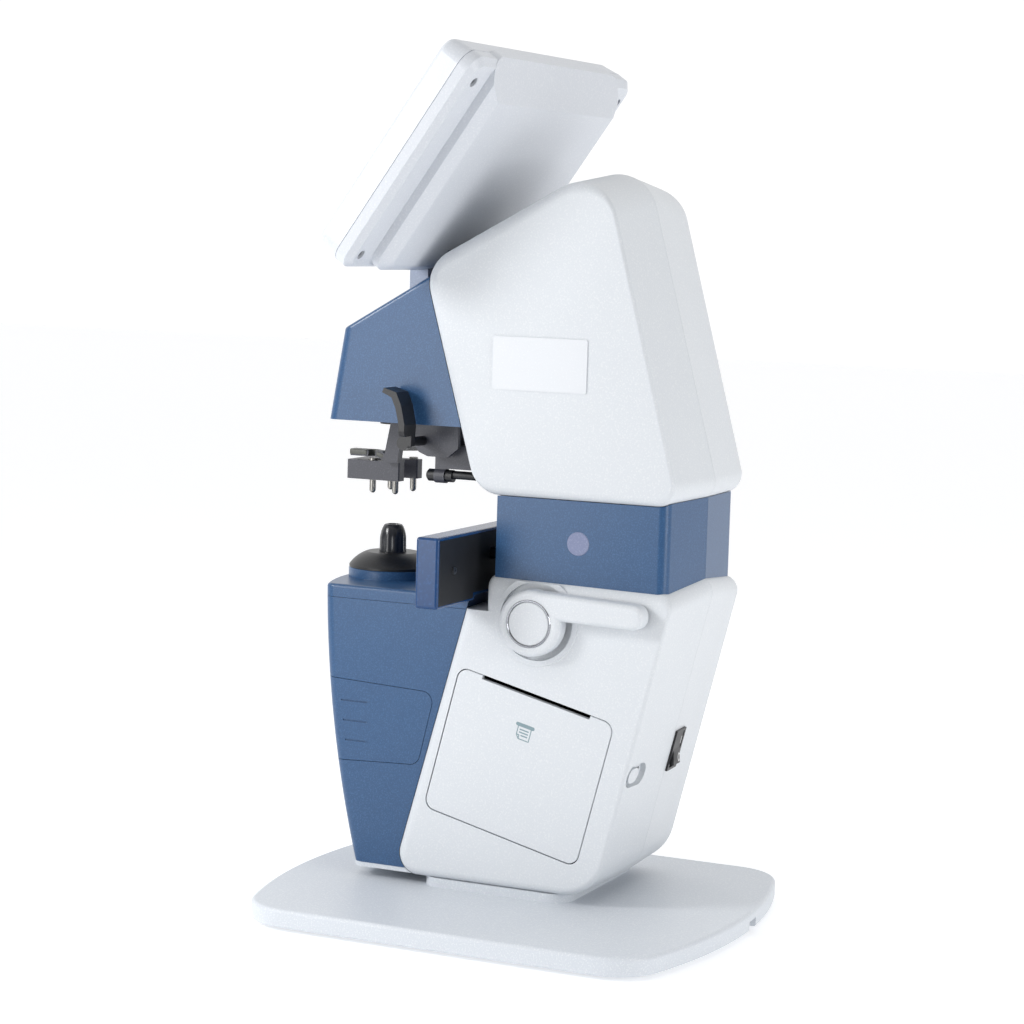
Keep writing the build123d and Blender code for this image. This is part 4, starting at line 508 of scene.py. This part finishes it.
FADE_FROM, FADE_TO = 0.24, 0.6
floor = flat_sheet("studio_floor", 6.0, 0.0)
floor_paper = bpy.data.materials.new("white_studio_paper")
floor_paper.use_nodes = True
tree = floor_paper.node_tree
tree.nodes.clear()
place = add(tree, "ShaderNodeTexCoord", {}).outputs["Object"]
to_right = add(tree, "ShaderNodeSeparateXYZ", {"Vector": place}).outputs["X"]
# Painted shade and painted glow: from FADE_FROM towards the camera the paper colour darkens from E3E4E6 to
# BCBEC1, and its emission falls from 0.4 to 0.12.
painted_shade_share = add(tree, "ShaderNodeMapRange", {"Value": to_right, "From Min": FADE_FROM, "From Max": FADE_TO})
pale = add(tree, "ShaderNodeMix", {0: painted_shade_share.outputs["Result"], 6: linear("E3E4E6"), 7: linear("BCBEC1")},
           data_type="RGBA")
painted_glow = add(tree, "ShaderNodeMapRange", {"Value": to_right, "From Min": FADE_FROM, "From Max": FADE_TO,
                                        "To Min": 0.4, "To Max": 0.12})
paper_surface = add(tree, "ShaderNodeBsdfPrincipled", {
    "Base Color": pale.outputs[2], "Roughness": 0.8, "Emission Color": (1.0, 1.0, 1.0, 1.0),
    "Emission Strength": painted_glow.outputs["Result"]})
add(tree, "ShaderNodeOutputMaterial", {"Surface": paper_surface.outputs["BSDF"]})
floor.data.materials.append(floor_paper)

# %% World and softboxes
world = bpy.data.worlds.new("cyclorama")
bpy.context.scene.world = world
world.use_nodes = True
sky = world.node_tree
toward = add(sky, "ShaderNodeTexCoord", {}).outputs["Generated"]
parts = add(sky, "ShaderNodeSeparateXYZ", {"Vector": toward}).outputs
behind = add(sky, "ShaderNodeMapRange", {"Value": parts["Y"], "From Min": 0.28, "From Max": 0.52,
                                         "To Min": 1.06, "To Max": 0.36})
dark_side = add(sky, "ShaderNodeMapRange", {"Value": parts["X"], "From Min": 0.0, "From Max": 0.5,
                                            "To Min": 1.0, "To Max": 0.2})
overhead = add(sky, "ShaderNodeMapRange", {"Value": parts["Z"], "From Min": 0.35, "From Max": 0.85,
                                           "To Min": 0.0, "To Max": 0.72})
backdrop = add(sky, "ShaderNodeMath", {0: behind.outputs["Result"], 1: dark_side.outputs["Result"]},
               operation="MULTIPLY")
strength = add(sky, "ShaderNodeMath", {0: backdrop.outputs["Value"], 1: overhead.outputs["Result"]},
               operation="MAXIMUM")
sky.links.new(strength.outputs["Value"], sky.nodes["Background"].inputs["Strength"])
sky.nodes["Background"].inputs["Color"].default_value = (1.0, 1.0, 1.0, 1.0)
bpy.context.scene.view_settings.view_transform = "Standard"


def softbox(name, direction, distance, size, watts, target):
    """A square lamp at target + direction times distance, with its face square to that direction."""
    lamp = bpy.data.lights.new(name, "AREA")
    lamp.shape = "SQUARE"
    lamp.size = size
    lamp.energy = watts
    thing = bpy.data.objects.new(name, lamp)
    bpy.context.scene.collection.objects.link(thing)
    away = unit(direction)
    side = unit(np.cross([0.0, 0.0, 1.0], away))
    rise = np.cross(away, side)
    at = np.asarray(target) + away * distance
    matrix = np.eye(4)
    matrix[:3, 0], matrix[:3, 1], matrix[:3, 2], matrix[:3, 3] = side, rise, away, at
    thing.matrix_world = matrix.T.tolist()
    return thing


softboxes = {
    "operator_side_softbox": ((0.66, -0.66, 0.33), 0.95, 0.26, 4.9, (0.0, -0.04, 0.26)),
    "low_fill_softbox": ((0.908, -0.408, -0.06), 0.85, 0.36, 1.6, (0.04, -0.07, 0.29)),
    "rear_softbox": ((0.28, 0.93, 0.12), 1.2, 0.5, 5.4, (0.0, 0.0, 0.22)),
}
for name, (direction, distance, size, watts, target) in softboxes.items():
    box = softbox(name, direction, distance, size, watts, target)
    print(name, "stands at", [round(c, 2) for c in box.location])

# %% Camera
AZIMUTH, PITCH, ROLL = np.radians([114.249, 6.03394, 1.70613])
FOCAL_PIXELS, PICTURE, SENSOR, NEAR_CLIP = 2674.975, 1024, 36.0, 0.05
CAMERA_AT = to_frame([1276.586, 548.027, 352.685])


def camera_axes(azimuth, pitch, roll):
    """Back = (sin a cos p, -cos a cos p, sin p). Right is level and square to it, up completes them, and both
    then turn by the roll about the line of sight."""
    back = np.array([np.sin(azimuth) * np.cos(pitch), -np.cos(azimuth) * np.cos(pitch), np.sin(pitch)])
    right = unit(np.cross(-back, [0.0, 0.0, 1.0]))
    up = np.cross(right, -back)
    turned_right = np.cos(roll) * right + np.sin(roll) * up
    turned_up = np.cos(roll) * up - np.sin(roll) * right
    return turned_right, turned_up, back


lens = bpy.data.cameras.new("photo_camera")
lens.sensor_width = SENSOR
lens.lens = FOCAL_PIXELS / PICTURE * SENSOR
lens.clip_start = NEAR_CLIP
camera = bpy.data.objects.new("photo_camera", lens)
bpy.context.scene.collection.objects.link(camera)
pose = np.eye(4)
pose[:3, 0], pose[:3, 1], pose[:3, 2] = camera_axes(AZIMUTH, PITCH, ROLL)
pose[:3, 3] = CAMERA_AT
camera.matrix_world = pose.T.tolist()
bpy.context.scene.camera = camera
print("lens in mm:", round(lens.lens, 2))
